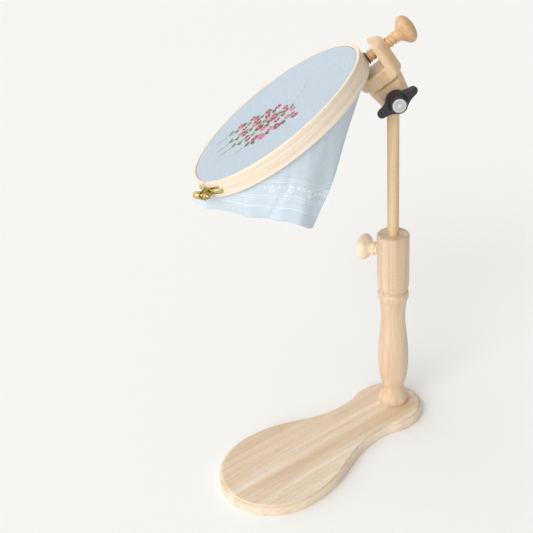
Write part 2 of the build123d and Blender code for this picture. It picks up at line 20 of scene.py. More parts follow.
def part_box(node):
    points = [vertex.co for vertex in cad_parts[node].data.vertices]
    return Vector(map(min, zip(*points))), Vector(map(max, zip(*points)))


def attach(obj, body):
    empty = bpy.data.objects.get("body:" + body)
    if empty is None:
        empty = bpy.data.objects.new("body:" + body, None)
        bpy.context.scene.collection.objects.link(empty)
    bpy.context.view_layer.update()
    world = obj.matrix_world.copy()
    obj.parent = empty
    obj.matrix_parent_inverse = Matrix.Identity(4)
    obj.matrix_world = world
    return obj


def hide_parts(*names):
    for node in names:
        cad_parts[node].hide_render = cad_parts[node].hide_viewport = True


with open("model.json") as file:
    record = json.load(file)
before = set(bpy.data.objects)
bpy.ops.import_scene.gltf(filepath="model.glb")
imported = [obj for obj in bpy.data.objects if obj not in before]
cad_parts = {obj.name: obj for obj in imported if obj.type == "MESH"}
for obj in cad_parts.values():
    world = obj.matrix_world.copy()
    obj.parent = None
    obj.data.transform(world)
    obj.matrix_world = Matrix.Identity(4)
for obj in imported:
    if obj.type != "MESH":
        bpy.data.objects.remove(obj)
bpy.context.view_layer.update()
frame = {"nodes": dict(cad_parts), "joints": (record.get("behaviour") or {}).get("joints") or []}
MM = 0.001

# %% [markdown]
# ## Places on the object
# The clamp tilts about a bolt that lies along Y, and everything above the dowel leans with it. Working
# in the clamp's own directions keeps the numbers simple, so the directions are read from the joints:
# the jaw screw turns about "across", and the hoop leaves the jaw along "out".

# %% Directions and centres from the joints and boxes
joints = {j["name"]: j for j in frame["joints"]}
across = Vector(joints["jaw_screw_turn"]["axis"]).normalized()
out = Vector(joints["hoop_release"]["axis"]).normalized()
level = Vector((0.0, 1.0, 0.0))


def frame_of(x_axis, y_axis, z_axis, origin):
    """A matrix that takes a piece's own directions to the object's."""
    m = Matrix((x_axis, y_axis, z_axis)).transposed().to_4x4()
    m.translation = origin
    return m


ring_low, ring_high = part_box("outer_ring")
hoop_radius = (ring_high.y - ring_low.y) / 2
lean = math.atan2(across.z, across.x)
hoop_height = ((ring_high.x - ring_low.x) - 2 * hoop_radius * math.cos(lean)) / math.sin(lean)
hoop_frame = frame_of(across, level, out, (ring_low + ring_high) / 2 - out * hoop_height / 2)
print("hoop radius and height, mm:", round(hoop_radius / MM, 2), round(hoop_height / MM, 2))

# %% [markdown]
# ## Colour and nodes
# Colours are written as the sRGB hex values that a paint chart or a colour picker gives. Cycles works
# in linear light, so one function converts them. One more function adds a shader node, sets its
# settings and fills its inputs: an input is linked when the value is another node's output. Inputs go
# by name, or by number where that is clearer: a Mix node takes its two colours at inputs 6 and 7 and
# gives the mixed one at output 2. Patterns are sized with a ruler in mind, so they start from the
# object's own point in millimetres.

# %% Helpers for materials
def rgb(text):
    """Linear RGBA of an sRGB hex colour."""
    channels = [int(text[i:i + 2], 16) / 255 for i in (1, 3, 5)]
    linear = [c / 12.92 if c <= 0.04045 else ((c + 0.055) / 1.055) ** 2.4 for c in channels]
    return (*linear, 1.0)


def add(tree, kind, settings=None, inputs=None):
    """A new node with its settings and inputs; an output given as an input is linked."""
    node = tree.nodes.new("ShaderNode" + kind)
    for name, value in (settings or {}).items():
        setattr(node, name, value)
    for name, value in (inputs or {}).items():
        if isinstance(value, bpy.types.NodeSocket):
            tree.links.new(value, node.inputs[name])
        else:
            node.inputs[name].default_value = value
    return node


def blank(name):
    """An empty material and its node tree."""
    material = bpy.data.materials.new(name)
    material.use_nodes = True
    material.node_tree.nodes.clear()
    return material, material.node_tree


def point_in_mm(tree):
    """The object's own point in millimetres."""
    place = add(tree, "TexCoord").outputs["Object"]
    return add(tree, "Mapping", {}, {"Vector": place, "Scale": (1 / MM, 1 / MM, 1 / MM)}).outputs[0]


print("sRGB #808080 in linear light:", round(rgb("#808080")[0], 3))

# %% [markdown]
# ## Beech
# The foot, post, dowel, clamp and hoop are steamed beech: a pale, pinkish tan wood with a fine, even
# texture. Three things make it read as beech and not as plastic. Broad, soft streaks run along the
# grain, because one plank's colour drifts. Annual rings show as faint lines a few millimetres apart.
# And short dark flecks, the medullary rays, lie along the grain, 1 to 4 mm long.
# A picture of wood wrapped round a turned leg would show a seam and stretched grain. A solid texture,
# worked out from the point's place in the plank, is cut open by the lathe as real wood is, so the
# rings form ovals on a knob by themselves. The rings are circles round a pith that lies beside the
# piece, as in a plank sawn from beside the heart.

# %% Beech material
def grain_from_object(tree, turn, shift):
    """The point in millimetres with X along the grain."""
    place = add(tree, "TexCoord").outputs["Object"]
    turned = add(tree, "Mapping", {"vector_type": "POINT"}, {"Vector": place, "Rotation": turn})
    return add(tree, "Mapping", {"vector_type": "POINT"},
               {"Vector": turned.outputs[0], "Scale": (1 / MM, 1 / MM, 1 / MM),
                "Location": shift}).outputs[0]


def beech(name, pale, dark, grain, ring_gap=4.5, streak=(320.0, 15.0, 15.0), polish=0.42, coat=0.25,
          contrast=1.0):
    """Sanded, lacquered beech. grain is a function that gives the point in the plank, in mm."""
    material, tree = blank(name)
    point = grain(tree)
    # broad streaks: noise drawn out along the grain
    broad = add(tree, "Mapping", {"vector_type": "TEXTURE"}, {"Vector": point, "Scale": streak})
    drift = add(tree, "TexNoise", {"noise_dimensions": "3D"},
                {"Vector": broad.outputs[0], "Scale": 1.0, "Detail": 3.0, "Roughness": 0.55,
                 "Distortion": 0.4})
    drift = add(tree, "MapRange", {}, {"Value": drift.outputs[0], "From Min": 0.34, "From Max": 0.68})
    # fine streaks, a millimetre or two wide, that break the broad ones up
    thin = add(tree, "Mapping", {"vector_type": "TEXTURE"}, {"Vector": point, "Scale": (120.0, 2.2, 2.2)})
    fine = add(tree, "TexNoise", {"noise_dimensions": "3D"},
               {"Vector": thin.outputs[0], "Scale": 1.0, "Detail": 2.0, "Roughness": 0.6})
    # annual rings: a saw-tooth wave round the pith, stretched along the grain so that it runs true
    pith = add(tree, "Mapping", {"vector_type": "POINT"},
               {"Vector": point, "Scale": (0.12, 1.0, 1.0), "Location": (0.0, 38.0, -64.0)})
    rings = add(tree, "TexWave", {"wave_type": "RINGS", "rings_direction": "X", "wave_profile": "SAW"},
                {"Vector": pith.outputs[0], "Scale": math.tau / 20 / ring_gap, "Distortion": 2.2,
                 "Detail": 1.5, "Detail Scale": 0.25})
    rings = add(tree, "MapRange", {"interpolation_type": "SMOOTHERSTEP"},
                {"Value": rings.outputs["Fac"], "From Min": 0.55, "From Max": 1.0})
    # rays: 2.6 mm long and 0.4 mm wide, coarsened from a real 0.2 mm so that they show in a picture
    dash = add(tree, "Mapping", {"vector_type": "TEXTURE"}, {"Vector": point, "Scale": (2.6, 0.40, 0.40)})
    rays = add(tree, "TexNoise", {"noise_dimensions": "3D"},
               {"Vector": dash.outputs[0], "Scale": 1.0, "Detail": 0.0})
    rays = add(tree, "MapRange", {"interpolation_type": "SMOOTHSTEP"},
               {"Value": rays.outputs[0], "From Min": 0.63, "From Max": 0.72})
    # colour: pale to dark by the streaks, then a touch darker on ring lines and rays
    amount = add(tree, "Math", {"operation": "MULTIPLY_ADD"}, {0: fine.outputs[0], 1: 0.35, 2: -0.175})
    amount = add(tree, "Math", {"operation": "ADD", "use_clamp": True},
                 {0: drift.outputs[0], 1: amount.outputs[0]})
    amount = add(tree, "Math", {"operation": "MULTIPLY"}, {0: amount.outputs[0], 1: contrast})
    base = add(tree, "Mix", {"data_type": "RGBA"},
               {"Factor": amount.outputs[0], 6: rgb(pale), 7: rgb(dark)}).outputs[2]
    lines = add(tree, "Math", {"operation": "MULTIPLY"}, {0: rings.outputs[0], 1: 0.30 * contrast})
    base = add(tree, "Mix", {"data_type": "RGBA"},
               {"Factor": lines.outputs[0], 6: base, 7: rgb(dark)}).outputs[2]
    marks = add(tree, "Math", {"operation": "MULTIPLY"}, {0: rays.outputs[0], 1: 0.34})
    base = add(tree, "Mix", {"data_type": "RGBA"},
               {"Factor": marks.outputs[0], 6: base, 7: rgb("#A87C52")}).outputs[2]
    # lacquer soaks into the rays, so they're duller and lie a few hundredths of a millimetre lower
    rough = add(tree, "Math", {"operation": "MULTIPLY_ADD"}, {0: rays.outputs[0], 1: 0.15, 2: polish})
    low = add(tree, "Math", {"operation": "MULTIPLY_ADD"}, {0: fine.outputs[0], 1: 0.5, 2: rays.outputs[0]})
    bump = add(tree, "Bump", {"invert": True},
               {"Height": low.outputs[0], "Strength": 0.35, "Distance": 0.06 * MM})
    wood = add(tree, "BsdfPrincipled", {},
               {"Base Color": base, "Roughness": rough.outputs[0], "Normal": bump.outputs[0], "IOR": 1.5,
                "Coat Weight": coat, "Coat Roughness": 0.28, "Coat IOR": 1.5})
    add(tree, "OutputMaterial", {}, {"Surface": wood.outputs[0]})
    return material


# %% A plank for each piece
# each plank is turned so that X runs along its grain, and shifted to where in the trunk it lay
quarter_turn = math.radians(90)
foot_grain = math.radians(-213.5)
side_grain = math.radians(-145)
board_beech = beech("beech_board_lacquered", "#F0E1CC", "#D0B08A",
                    lambda tree: grain_from_object(tree, (0, 0, foot_grain), (0, 0, 0)),
                    ring_gap=7.0, streak=(420.0, 20.0, 30.0), contrast=0.75)
upright_beech = beech("beech_turned_upright", "#DFC8AC", "#C4A37F",
                      lambda tree: grain_from_object(tree, (0, quarter_turn, 0), (90, 20, 10)),
                      contrast=0.8)
dowel_beech = beech("beech_turned_dowel", "#EBCDA4", "#D2AE80",
                    lambda tree: grain_from_object(tree, (0, quarter_turn, 0), (30, 64, 40)))
clamp_beech = beech("beech_turned_clamp", "#E9CDAA", "#CFAD84",
                    lambda tree: grain_from_object(tree, (0, quarter_turn + lean, 0), (30, 47, 5)),
                    streak=(200.0, 12.0, 12.0))
jaw_screw_beech = beech("beech_turned_jaw_screw", "#D9B488", "#BF9668",
                        lambda tree: grain_from_object(tree, (0, lean, 0), (10, 27, 55)),
                        streak=(120.0, 9.0, 9.0))
side_screw_beech = beech("beech_turned_side_screw", "#FDF0D8", "#EED7B2",
                         lambda tree: grain_from_object(tree, (0, 0, side_grain), (70, 12, 35)),
                         streak=(120.0, 9.0, 9.0))
print("beech materials:", sum(material.name.startswith("beech") for material in bpy.data.materials))

# %% Wood on the foot, post and dowel
def finish(node, material):
    """Gives a CAD node its material."""
    obj = frame["nodes"][node]
    obj.data.materials.clear()
    obj.data.materials.append(material)


finish("foot_board", board_beech)
finish("post", upright_beech)
finish("dowel", dowel_beech)
print("first nodes in beech:", "foot_board, post, dowel")

# %% [markdown]
# ## New pieces
# Every piece made here is a mesh from a list of points and faces. It rides on the CAD body that it
# belongs to, so it moves with the joints, and it takes the finish that it is given.
# Turned pieces come from one lathe function. It takes (height, radius) rows up the axis and joins one
# ring of points to the next, as a spindle turner works down a template. Blender's Screw modifier could
# spin a profile too, but it can't cut a thread into the same surface, and the screws need one.

# %% Meshes, lathe and measuring
def piece(name, points, faces, material, body):
    """A new smooth mesh that rides on a body."""
    mesh = bpy.data.meshes.new(name)
    mesh.from_pydata([tuple(p) for p in points], [], faces)
    mesh.materials.append(material)
    mesh.shade_smooth()
    mesh.set_sharp_from_angle(angle=math.radians(38))
    obj = bpy.data.objects.new(name, mesh)
    bpy.context.scene.collection.objects.link(obj)
    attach(obj, body)
    return obj


def lathe(rows, place, around=72, cut=None, loop=False):
    """Points and faces of a turned piece; cut(height, angle) is how deep the tool goes in, in mm."""
    points, faces = [], []
    for height, radius in rows:
        for k in range(around):
            angle = math.tau * k / around
            r = radius - (cut(height, angle) if cut else 0.0)
            points.append(place @ (Vector((r * math.cos(angle), r * math.sin(angle), height)) * MM))
    count = len(rows)
    for i in range(count if loop else count - 1):
        low, high = i * around, (i + 1) % count * around
        for k in range(around):
            nxt = (k + 1) % around
            faces.append((low + k, low + nxt, high + nxt, high + k))
    if not loop:
        faces.append(tuple(reversed(range(around))))
        faces.append(tuple(range((count - 1) * around, count * around)))
    return points, faces


def profile_of(node, origin, axis):
    """(height, radius) pairs 0.1 mm apart up a turned CAD node's outside, in mm from a point on its axis."""
    widest = {}
    for vertex in frame["nodes"][node].data.vertices:
        offset = vertex.co - origin
        height = offset.dot(axis)
        radius = (offset - axis * height).length
        key = round(height / MM, 1)
        widest[key] = max(widest.get(key, 0.0), radius / MM)
    return sorted(widest.items())


def between(value, low, high):
    """0 below low, 1 above high and a smooth step in between."""
    t = min(max((value - low) / (high - low), 0.0), 1.0)
    return t * t * (3 - 2 * t)


print("smooth step a quarter of the way:", between(0.25, 0.0, 1.0))

# %% [markdown]
# ## Wooden screws
# Both clamp screws are turned from beech with a coarse wood thread: 15 mm across with a 5 mm pitch, cut
# by a tap-and-die set that leaves a rounded V. The CAD solid is a plain cylinder at the thread's
# outside, because a helix there would only slow the collision model down. Here the same outline gets
# its thread: the radius drops by up to 1.6 mm where the helix passes, and a full turn moves the groove
# on by one pitch. That is the pitch in the joint's coupling, so the thread fits its motion. Each
# screw's heights are measured from a point on its axis, so many millimetres behind its joint.

# %% Jaw screw and thumbscrew
thread_radius, row_gap = 7.45, 0.34
tip_radius, tip_edge_radius, tip_edge, first_row = 6.2, 7.4, 0.9, 1.2
jaw_behind, jaw_thread_end = 40, 41.6
side_behind, side_thread_end = 30, 26.4


def wood_thread(start, end, pitch=5.0, depth=1.6):
    """Cutting depth of a rounded V thread that fades out at both ends."""
    def cut(height, angle):
        turn = (height / pitch - angle / math.tau) % 1.0
        valley = (0.5 - 0.5 * math.cos(math.tau * turn)) ** 1.6
        fade = between(height, start, start + 2.5) * (1 - between(height, end - 1.6, end))
        return depth * valley * fade
    return cut


def wooden_screw(name, node, origin, axis, side, material, body, thread_end):
    """A turned screw that keeps the CAD outline and gains a thread up to thread_end."""
    outline = profile_of(node, origin, axis)
    tip = outline[0][0]
    knob = [row for row in outline if row[0] > thread_end + 0.2]
    run = thread_end - tip - first_row
    steps = int(run / row_gap)
    rows = [(tip, tip_radius), (tip + tip_edge, tip_edge_radius)]
    rows += [(tip + first_row + run * i / steps, thread_radius) for i in range(steps + 1)]
    rows += [(height, max(radius, 0.05)) for height, radius in knob]
    place = frame_of(side, axis.cross(side), axis, origin)
    points, faces = lathe(rows, place, 72, wood_thread(tip, thread_end))
    obj = piece(name, points, faces, material, body)
    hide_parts(node)
    print(name, "rows:", len(rows), "length mm:", round(rows[-1][0] - tip, 1))


jaw_origin = Vector(joints["jaw_screw_turn"]["pos_m"]) - across * jaw_behind * MM
wooden_screw("jaw_screw_turned", "jaw_screw", jaw_origin, across, level,
             jaw_screw_beech, "jaw_spindle", jaw_thread_end)
side_axis = Vector(joints["thumbscrew_turn"]["axis"]).normalized()
side_origin = Vector(joints["thumbscrew_turn"]["pos_m"]) - side_axis * side_behind * MM
wooden_screw("thumbscrew_turned", "thumbscrew", side_origin, side_axis, Vector((0, 0, 1)),
             side_screw_beech, "post_screw", side_thread_end)

# %% [markdown]
# ## Sanded edges
# The clamp block leaves the saw with crisp edges and is then drum-sanded until they are soft to the
# touch, 1 to 2 mm round. Bevels would be the usual tool, but a bevel fails where a flat meets a turned
# surface at a shallow angle, and this block is full of such edges. Sanding can be copied directly: a
# fine voxel grid turns the block into small even squares, and a few smoothing passes wear the edges
# down while flats, being level already, stay where they are. The moulded wing nut gets the same
# treatment on a finer grid, because a mould's corners are rounded as well.

# %% Clamp block, tongue and wing nut with worn edges
def sanded(name, node, voxel, passes, material, body, webs=()):
    """A copy of a CAD node on an even grid, with webs grown into it and its edges worn by smoothing."""
    work = bmesh.new()
    work.from_mesh(frame["nodes"][node].data)
    bmesh.ops.remove_doubles(work, verts=work.verts, dist=1e-6)
    for points, faces in webs:
        corners = [work.verts.new(point) for point in points]
        for face in faces:
            work.faces.new([corners[index] for index in face])
    mesh = bpy.data.meshes.new(name)
    work.to_mesh(mesh)
    work.free()
    obj = bpy.data.objects.new(name, mesh)
    bpy.context.scene.collection.objects.link(obj)
    grid = obj.modifiers.new("even_grid", "REMESH")
    grid.mode = "VOXEL"
    grid.voxel_size = voxel * MM
    paper = obj.modifiers.new("sandpaper", "SMOOTH")
    paper.factor = 0.5
    paper.iterations = passes
    evaluated = obj.evaluated_get(bpy.context.evaluated_depsgraph_get())
    worn = bpy.data.meshes.new_from_object(evaluated)
    obj.modifiers.clear()
    obj.data = worn
    worn.name = name
    worn.materials.clear()
    worn.materials.append(material)
    worn.shade_smooth()
    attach(obj, body)
    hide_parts(node)
    print(name, "faces:", len(worn.polygons))


sanded("clamp_block_sanded", "clamp_block", 0.8, 22, clamp_beech, "clamp")
sanded("dowel_tongue_sanded", "dowel_tongue", 0.5, 6, dowel_beech, "mast_head")

# %% [markdown]
# ## Moulded nylon
# The wing nut is glass-filled black nylon and its cap plain grey nylon. Both come from spark-eroded
# moulds, whose fine pits give an even, satin skin. Real pits are about 0.1 mm; here they are 0.5 mm,
# the finest that still shows. Pure black would hide the form, so the base is a very dark violet grey,
# as carbon-black nylon is in daylight. A moulder joins each wing to the hub by a web that widens in a
# curve, because a sharp inside corner would crack; the voxel grid melts such a block into the CAD shape.

# %% Nylon material
def moulded_nylon(name, colour, pale_tone_and_edge_light, roughness, pit):
    """Spark-eroded nylon: even satin colour, fine pits, paler clouds and a painted highlight on raised edges.
    """
    material, tree = blank(name)
    mm = point_in_mm(tree)
    pits = add(tree, "TexNoise", {}, {"Vector": mm, "Scale": 1 / pit, "Detail": 2.0, "Roughness": 0.6})
    cloudy = add(tree, "TexNoise", {}, {"Vector": mm, "Scale": 0.09, "Detail": 3.0})
    # painted highlight: sharp convex edges, found by pointiness, are mixed towards the paler colour
    edge = add(tree, "NewGeometry").outputs["Pointiness"]
    edge = add(tree, "MapRange", {}, {"Value": edge, "From Min": 0.505, "From Max": 0.56}).outputs[0]
    tone = add(tree, "Math", {"operation": "MULTIPLY"}, {0: cloudy.outputs[0], 1: 0.25}).outputs[0]
    tone = add(tree, "Math", {"operation": "ADD", "use_clamp": True}, {0: tone, 1: edge}).outputs[0]
    base = add(tree, "Mix", {"data_type": "RGBA"},
               {"Factor": tone, 6: rgb(colour), 7: rgb(pale_tone_and_edge_light)}).outputs[2]
    rough = add(tree, "Math", {"operation": "MULTIPLY_ADD"},
                {0: pits.outputs[0], 1: 0.16, 2: roughness - 0.08})
    bump = add(tree, "Bump", {}, {"Height": pits.outputs[0], "Strength": 0.35, "Distance": 0.08 * MM})
    nylon = add(tree, "BsdfPrincipled", {},
                {"Base Color": base, "Roughness": rough.outputs[0], "Normal": bump.outputs[0], "IOR": 1.53})
    add(tree, "OutputMaterial", {}, {"Surface": nylon.outputs[0]})
    return material


# %% Wing nut and cap
black_nylon = moulded_nylon("black_nylon_moulded", "#1D1A22", "#403D47", 0.46, 0.5)
grey_nylon = moulded_nylon("grey_nylon_moulded", "#AEB1B1", "#D4D6D5", 0.50, 0.5)
nut_low, nut_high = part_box("wing_nut")
nut_back = Vector(((nut_low.x + nut_high.x) / 2, nut_high.y, (nut_low.z + nut_high.z) / 2))
swing = math.radians(34)
along = Vector((math.cos(swing), 0, math.sin(swing)))
aside = Vector((-math.sin(swing), 0, math.cos(swing)))
web_back, web_front = 5.6, 13.8


def web(side):
    """A closed block that widens a wing towards the hub, as points and faces."""
    # one edge, as (way out along the wing, half width) in mm
    half = [(5.0, 12.0), (9.0, 10.6), (12.0, 8.6), (15.5, 6.9), (19.5, 5.9), (24.0, 5.4)]
    outline = half + [(a, -b) for a, b in reversed(half)]
    count = len(outline)
    points = [nut_back + (along * (side * a) + aside * b - level * depth) * MM
              for depth in (web_back, web_front) for a, b in outline]
    faces = [tuple(range(count))[::side], tuple(range(count, 2 * count))[::-side]]
    for i in range(count):
        nxt = (i + 1) % count
        faces.append((i, i + count, nxt + count, nxt)[::side])
    return points, faces


sanded("wing_nut_moulded", "wing_nut", 0.5, 24, black_nylon, "wing", [web(1), web(-1)])

finish("wing_nut_cap", grey_nylon)

# %% [markdown]
# ## Metals and leather
# The bolts and washers are mild steel with bright zinc plate, a bluish grey with a slightly cloudy
# shine. The hoop's clasp is brass, pressed and tumbled, then handled, so it is glossy with duller
# patches where fingers leave a film. A metal's colour is in its reflection, so Metallic is 1 and the
# base colour is that of the metal. The small pads are vegetable-tanned leather discs: brown, matt, with
# a pebbled grain about 0.7 mm across.

# %% Zinc, brass and leather materials
def worked_metal(name, colour, dull_colour, roughness, patch):
    """A metal with soft patches of film and fine tumbling marks."""
    material, tree = blank(name)
    mm = point_in_mm(tree)
    film = add(tree, "TexNoise", {}, {"Vector": mm, "Scale": 1 / patch, "Detail": 4.0, "Roughness": 0.6})
    film = add(tree, "MapRange", {},
               {"Value": film.outputs[0], "From Min": 0.38, "From Max": 0.66}).outputs[0]
    marks = add(tree, "TexNoise", {}, {"Vector": mm, "Scale": 2.4, "Detail": 3.0, "Distortion": 1.2})
    base = add(tree, "Mix", {"data_type": "RGBA"},
               {"Factor": film, 6: rgb(colour), 7: rgb(dull_colour)}).outputs[2]
    rough = add(tree, "Math", {"operation": "MULTIPLY_ADD"}, {0: film, 1: 0.16, 2: roughness})
    bump = add(tree, "Bump", {}, {"Height": marks.outputs[0], "Strength": 0.2, "Distance": 0.04 * MM})
    metal = add(tree, "BsdfPrincipled", {},
                {"Base Color": base, "Metallic": 1.0, "Roughness": rough.outputs[0],
                 "Normal": bump.outputs[0]})
    add(tree, "OutputMaterial", {}, {"Surface": metal.outputs[0]})
    return material


def tanned_leather(name, colour, deep_colour):
    """Leather with rounded pebbles, 0.7 mm across, and darker creases."""
    material, tree = blank(name)
    mm = point_in_mm(tree)
    pebbles = add(tree, "TexVoronoi", {"feature": "DISTANCE_TO_EDGE"}, {"Vector": mm, "Scale": 1 / 0.7})
    crease = add(tree, "MapRange", {}, {"Value": pebbles.outputs["Distance"], "From Max": 0.22}).outputs[0]
    base = add(tree, "Mix", {"data_type": "RGBA"},
               {"Factor": crease, 6: rgb(deep_colour), 7: rgb(colour)}).outputs[2]
    bump = add(tree, "Bump", {}, {"Height": crease, "Strength": 0.6, "Distance": 0.15 * MM})
    hide = add(tree, "BsdfPrincipled", {},
               {"Base Color": base, "Roughness": 0.68, "Normal": bump.outputs[0], "IOR": 1.45})
    add(tree, "OutputMaterial", {}, {"Surface": hide.outputs[0]})
    return material


# %% Bolts, washers, inserts and pads
zinc = worked_metal("steel_bright_zinc", "#BFC2C6", "#A4A7AC", 0.26, 5.0)
brass = worked_metal("brass_tumbled", "#E0CE8E", "#B39F62", 0.16, 3.5)
leather = tanned_leather("leather_tanned", "#6E4A2B", "#3A2414")
for node in ("fixing_bolt", "fixing_washer", "pivot_bolt", "pivot_washer"):
    finish(node, zinc)
for node in ("fixing_insert", "wing_nut_insert", "brake_pad_pin", "jaw_pad_pin", "clasp_rivets"):
    finish(node, brass)
for node in ("brake_pad", "jaw_pad"):
    finish(node, leather)
print("metal and leather nodes finished")

# %% [markdown]
# ## The hoop's bent rings
# Each ring is a thin strip of beech, steamed and bent, so its grain runs right round it. The point in
# the plank is worked out from the ring: how far round it is, how far from the axis and how high. The
# angle jumps by a full turn somewhere, and that place is put at the split, where nothing joins.

# %% Bent beech
screw_spot = hoop_frame.inverted() @ Vector(joints["hoop_screw_turn"]["pos_m"])
split_angle = math.atan2(screw_spot.y, screw_spot.x)
split_frame = hoop_frame @ Matrix.Rotation(split_angle - math.pi, 4, "Z")


def grain_round_ring(tree):
    """The point in millimetres with X along the bent strip."""
    to_ring = split_frame.inverted()
    point = grain_from_object(tree, to_ring.to_euler("XYZ"), to_ring.translation / MM)
    parts = add(tree, "SeparateXYZ", {}, {0: point})
    angle = add(tree, "Math", {"operation": "ARCTAN2"}, {0: parts.outputs[1], 1: parts.outputs[0]}).outputs[0]
    arc = add(tree, "Math", {"operation": "MULTIPLY"}, {0: angle, 1: hoop_radius / MM}).outputs[0]
    flat = add(tree, "CombineXYZ", {}, {0: parts.outputs[0], 1: parts.outputs[1]}).outputs[0]
    radius = add(tree, "VectorMath", {"operation": "LENGTH"}, {0: flat}).outputs["Value"]
    return add(tree, "CombineXYZ", {}, {0: arc, 1: radius, 2: parts.outputs[2]}).outputs[0]


ring_beech = beech("beech_bent_strip", "#EFE3D2", "#DBC7AB", grain_round_ring, ring_gap=2.6,
                   streak=(110.0, 1.6, 2.4), polish=0.46, coat=0.15, contrast=0.7)
finish("outer_ring", ring_beech)
finish("inner_ring", ring_beech)
print("split at degrees:", round(math.degrees(split_angle) % 360, 1))

# %% [markdown]
# ## The brass clasp
# A pressed brass plate is riveted each side of the split. Each is a long loop with a rolled rim round
# its outside and another round its slot, which stiffen thin sheet and catch the light as two bright
# lines. An ear stands up at the split, one with a barrel nut and one as a seat for the thumb screw.
# The loop is drawn flat, as the press tool would be, with a slot-shaped outline inside and another
# outside and the same number of points on each. A point part way between the two takes its height from
# the rims' profile. Then the flat plate is wrapped on the ring.

# %% Clasp plates
plate_start, plate_end, plate_half = 3.4, 34.0, 5.5
slot_middle, slot_run, slot_half = 19.7, 5.5, 2.0
ring_mid = hoop_height / MM / 2


def wrap(x, lift, h):
    """Point on the ring's face: x mm round from the split, lift mm out and h mm up from its middle."""
    angle = split_angle + x * MM / hoop_radius
    r = hoop_radius + lift * MM
    return hoop_frame @ Vector((r * math.cos(angle), r * math.sin(angle), (ring_mid + h) * MM))


def slot_outline(middle, run, half, angle):
    """Point on a slot-shaped outline of two half circles and two straight sides."""
    side = 1 if math.cos(angle) > 0 else -1
    return middle + side * run + half * math.cos(angle), half * math.sin(angle)


def loop_plate(side):
    """Points and faces of one plate; side is 1 or -1 from the split."""
    outer_middle = (plate_start + plate_end) / 2
    outer_run = (plate_end - plate_start) / 2 - plate_half
    # (share of the way from the slot to the outside, height off the ring in mm)
    section = [(0.0, 0.02), (0.0, 0.7), (0.03, 0.98), (0.09, 1.08), (0.15, 0.98), (0.22, 0.66), (0.32, 0.58),
               (0.66, 0.58), (0.76, 0.68), (0.83, 1.0), (0.90, 1.12), (0.96, 1.0), (1.0, 0.7), (1.0, 0.02)]
    points, faces, around = [], [], 64
    for k in range(around):
        angle = math.tau * (k + 0.5) / around
        ix, iy = slot_outline(slot_middle, slot_run, slot_half, angle)
        ox, oy = slot_outline(outer_middle, outer_run, plate_half, angle)
        for share, lift in section:
            points.append(wrap(side * (ix + (ox - ix) * share), lift, iy + (oy - iy) * share))
    count = len(section)
    for k in range(around):
        here, there = k * count, (k + 1) % around * count
        for j in range(count):
            nxt = (j + 1) % count
            faces.append((here + j, there + j, there + nxt, here + nxt)[::side])
    return points, faces


def ear(side, reach=14.5, rounding=4.4):
    """Points and faces of the upturned ear, a slab with rounded corners and eased edges."""
    outline = [(0.3, -plate_half), (0.3, plate_half)]
    for corner, first in ((plate_half - rounding, 90), (-(plate_half - rounding), 0)):
        for step in range(7):
            angle = math.radians(first - 15 * step)
            outline.append((reach - rounding + rounding * math.cos(angle),
                            corner + rounding * math.sin(angle)))
    middle = sum(x for x, h in outline) / len(outline)
    turned = Matrix.Rotation(split_angle, 4, "Z")
    points, faces = [], []
    # (share of the outline's size, distance from the split in mm)
    layers = ((0.96, 3.4), (1.0, 3.6), (1.0, 4.1), (0.96, 4.3))
    for share, y in layers:
        for x, h in outline:
            spot = Vector((hoop_radius / MM + middle + (x - middle) * share, side * y, ring_mid + h * share))
            points.append(hoop_frame @ (turned @ (spot * MM)))
    count = len(outline)
    for layer in range(len(layers) - 1):
        low, high = layer * count, (layer + 1) * count
        for j in range(count):
            nxt = (j + 1) % count
            faces.append((low + j, low + nxt, high + nxt, high + j)[::side])
    faces.append(tuple(range(count))[::-side])
    faces.append(tuple(range((len(layers) - 1) * count, len(layers) * count))[::side])
    return points, faces


for side, node in ((1, "clasp_plate_front"), (-1, "clasp_plate_back")):
    points, faces = loop_plate(side)
    ear_points, ear_faces = ear(side)
    faces += [tuple(i + len(points) for i in face) for face in ear_faces]
    plate = piece(node + "_pressed", points + ear_points, faces, brass, "hoop")
    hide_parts(node)
print("clasp plates, faces each:", len(faces))

# %% [markdown]
# The thumb screw has a fine metric thread, 0.7 mm pitch, and a long fluted head that fingers can grip:
# a collar, a waist, and a barrel with sixteen flutes between two beads. The barrel nut has eased ends.
# Both are drawn as a turner's template: rows of height along the screw and radius, in mm.

# %% Thumb screw and barrel nut
screw_axis = Vector(joints["hoop_screw_turn"]["axis"]).normalized()
screw_place = frame_of(out, screw_axis.cross(out), screw_axis, Vector(joints["hoop_screw_turn"]["pos_m"]))


flute_count, flute_depth = 16, 0.45
shank_start, shank_length, shank_step, shank_radius = -4.2, 18.8, 0.1, 1.98
thread_pitch, thread_depth = 0.7, 0.3


def brass_cut(height, angle):
    """Flutes on the head and a fine thread on the shank."""
    # the flutes run between the two beads and fade out over 0.8 mm
    if height < -12.0:
        flutes = (0.5 - 0.5 * math.cos(flute_count * angle)) * between(height, -25.4, -24.6)
        return flute_depth * flutes * (1 - between(height, -15.6, -14.8))
    if height > shank_start:
        turn = (height / thread_pitch - angle / math.tau) % 1.0
        return thread_depth * (0.5 - 0.5 * math.cos(math.tau * turn))
    return 0.0


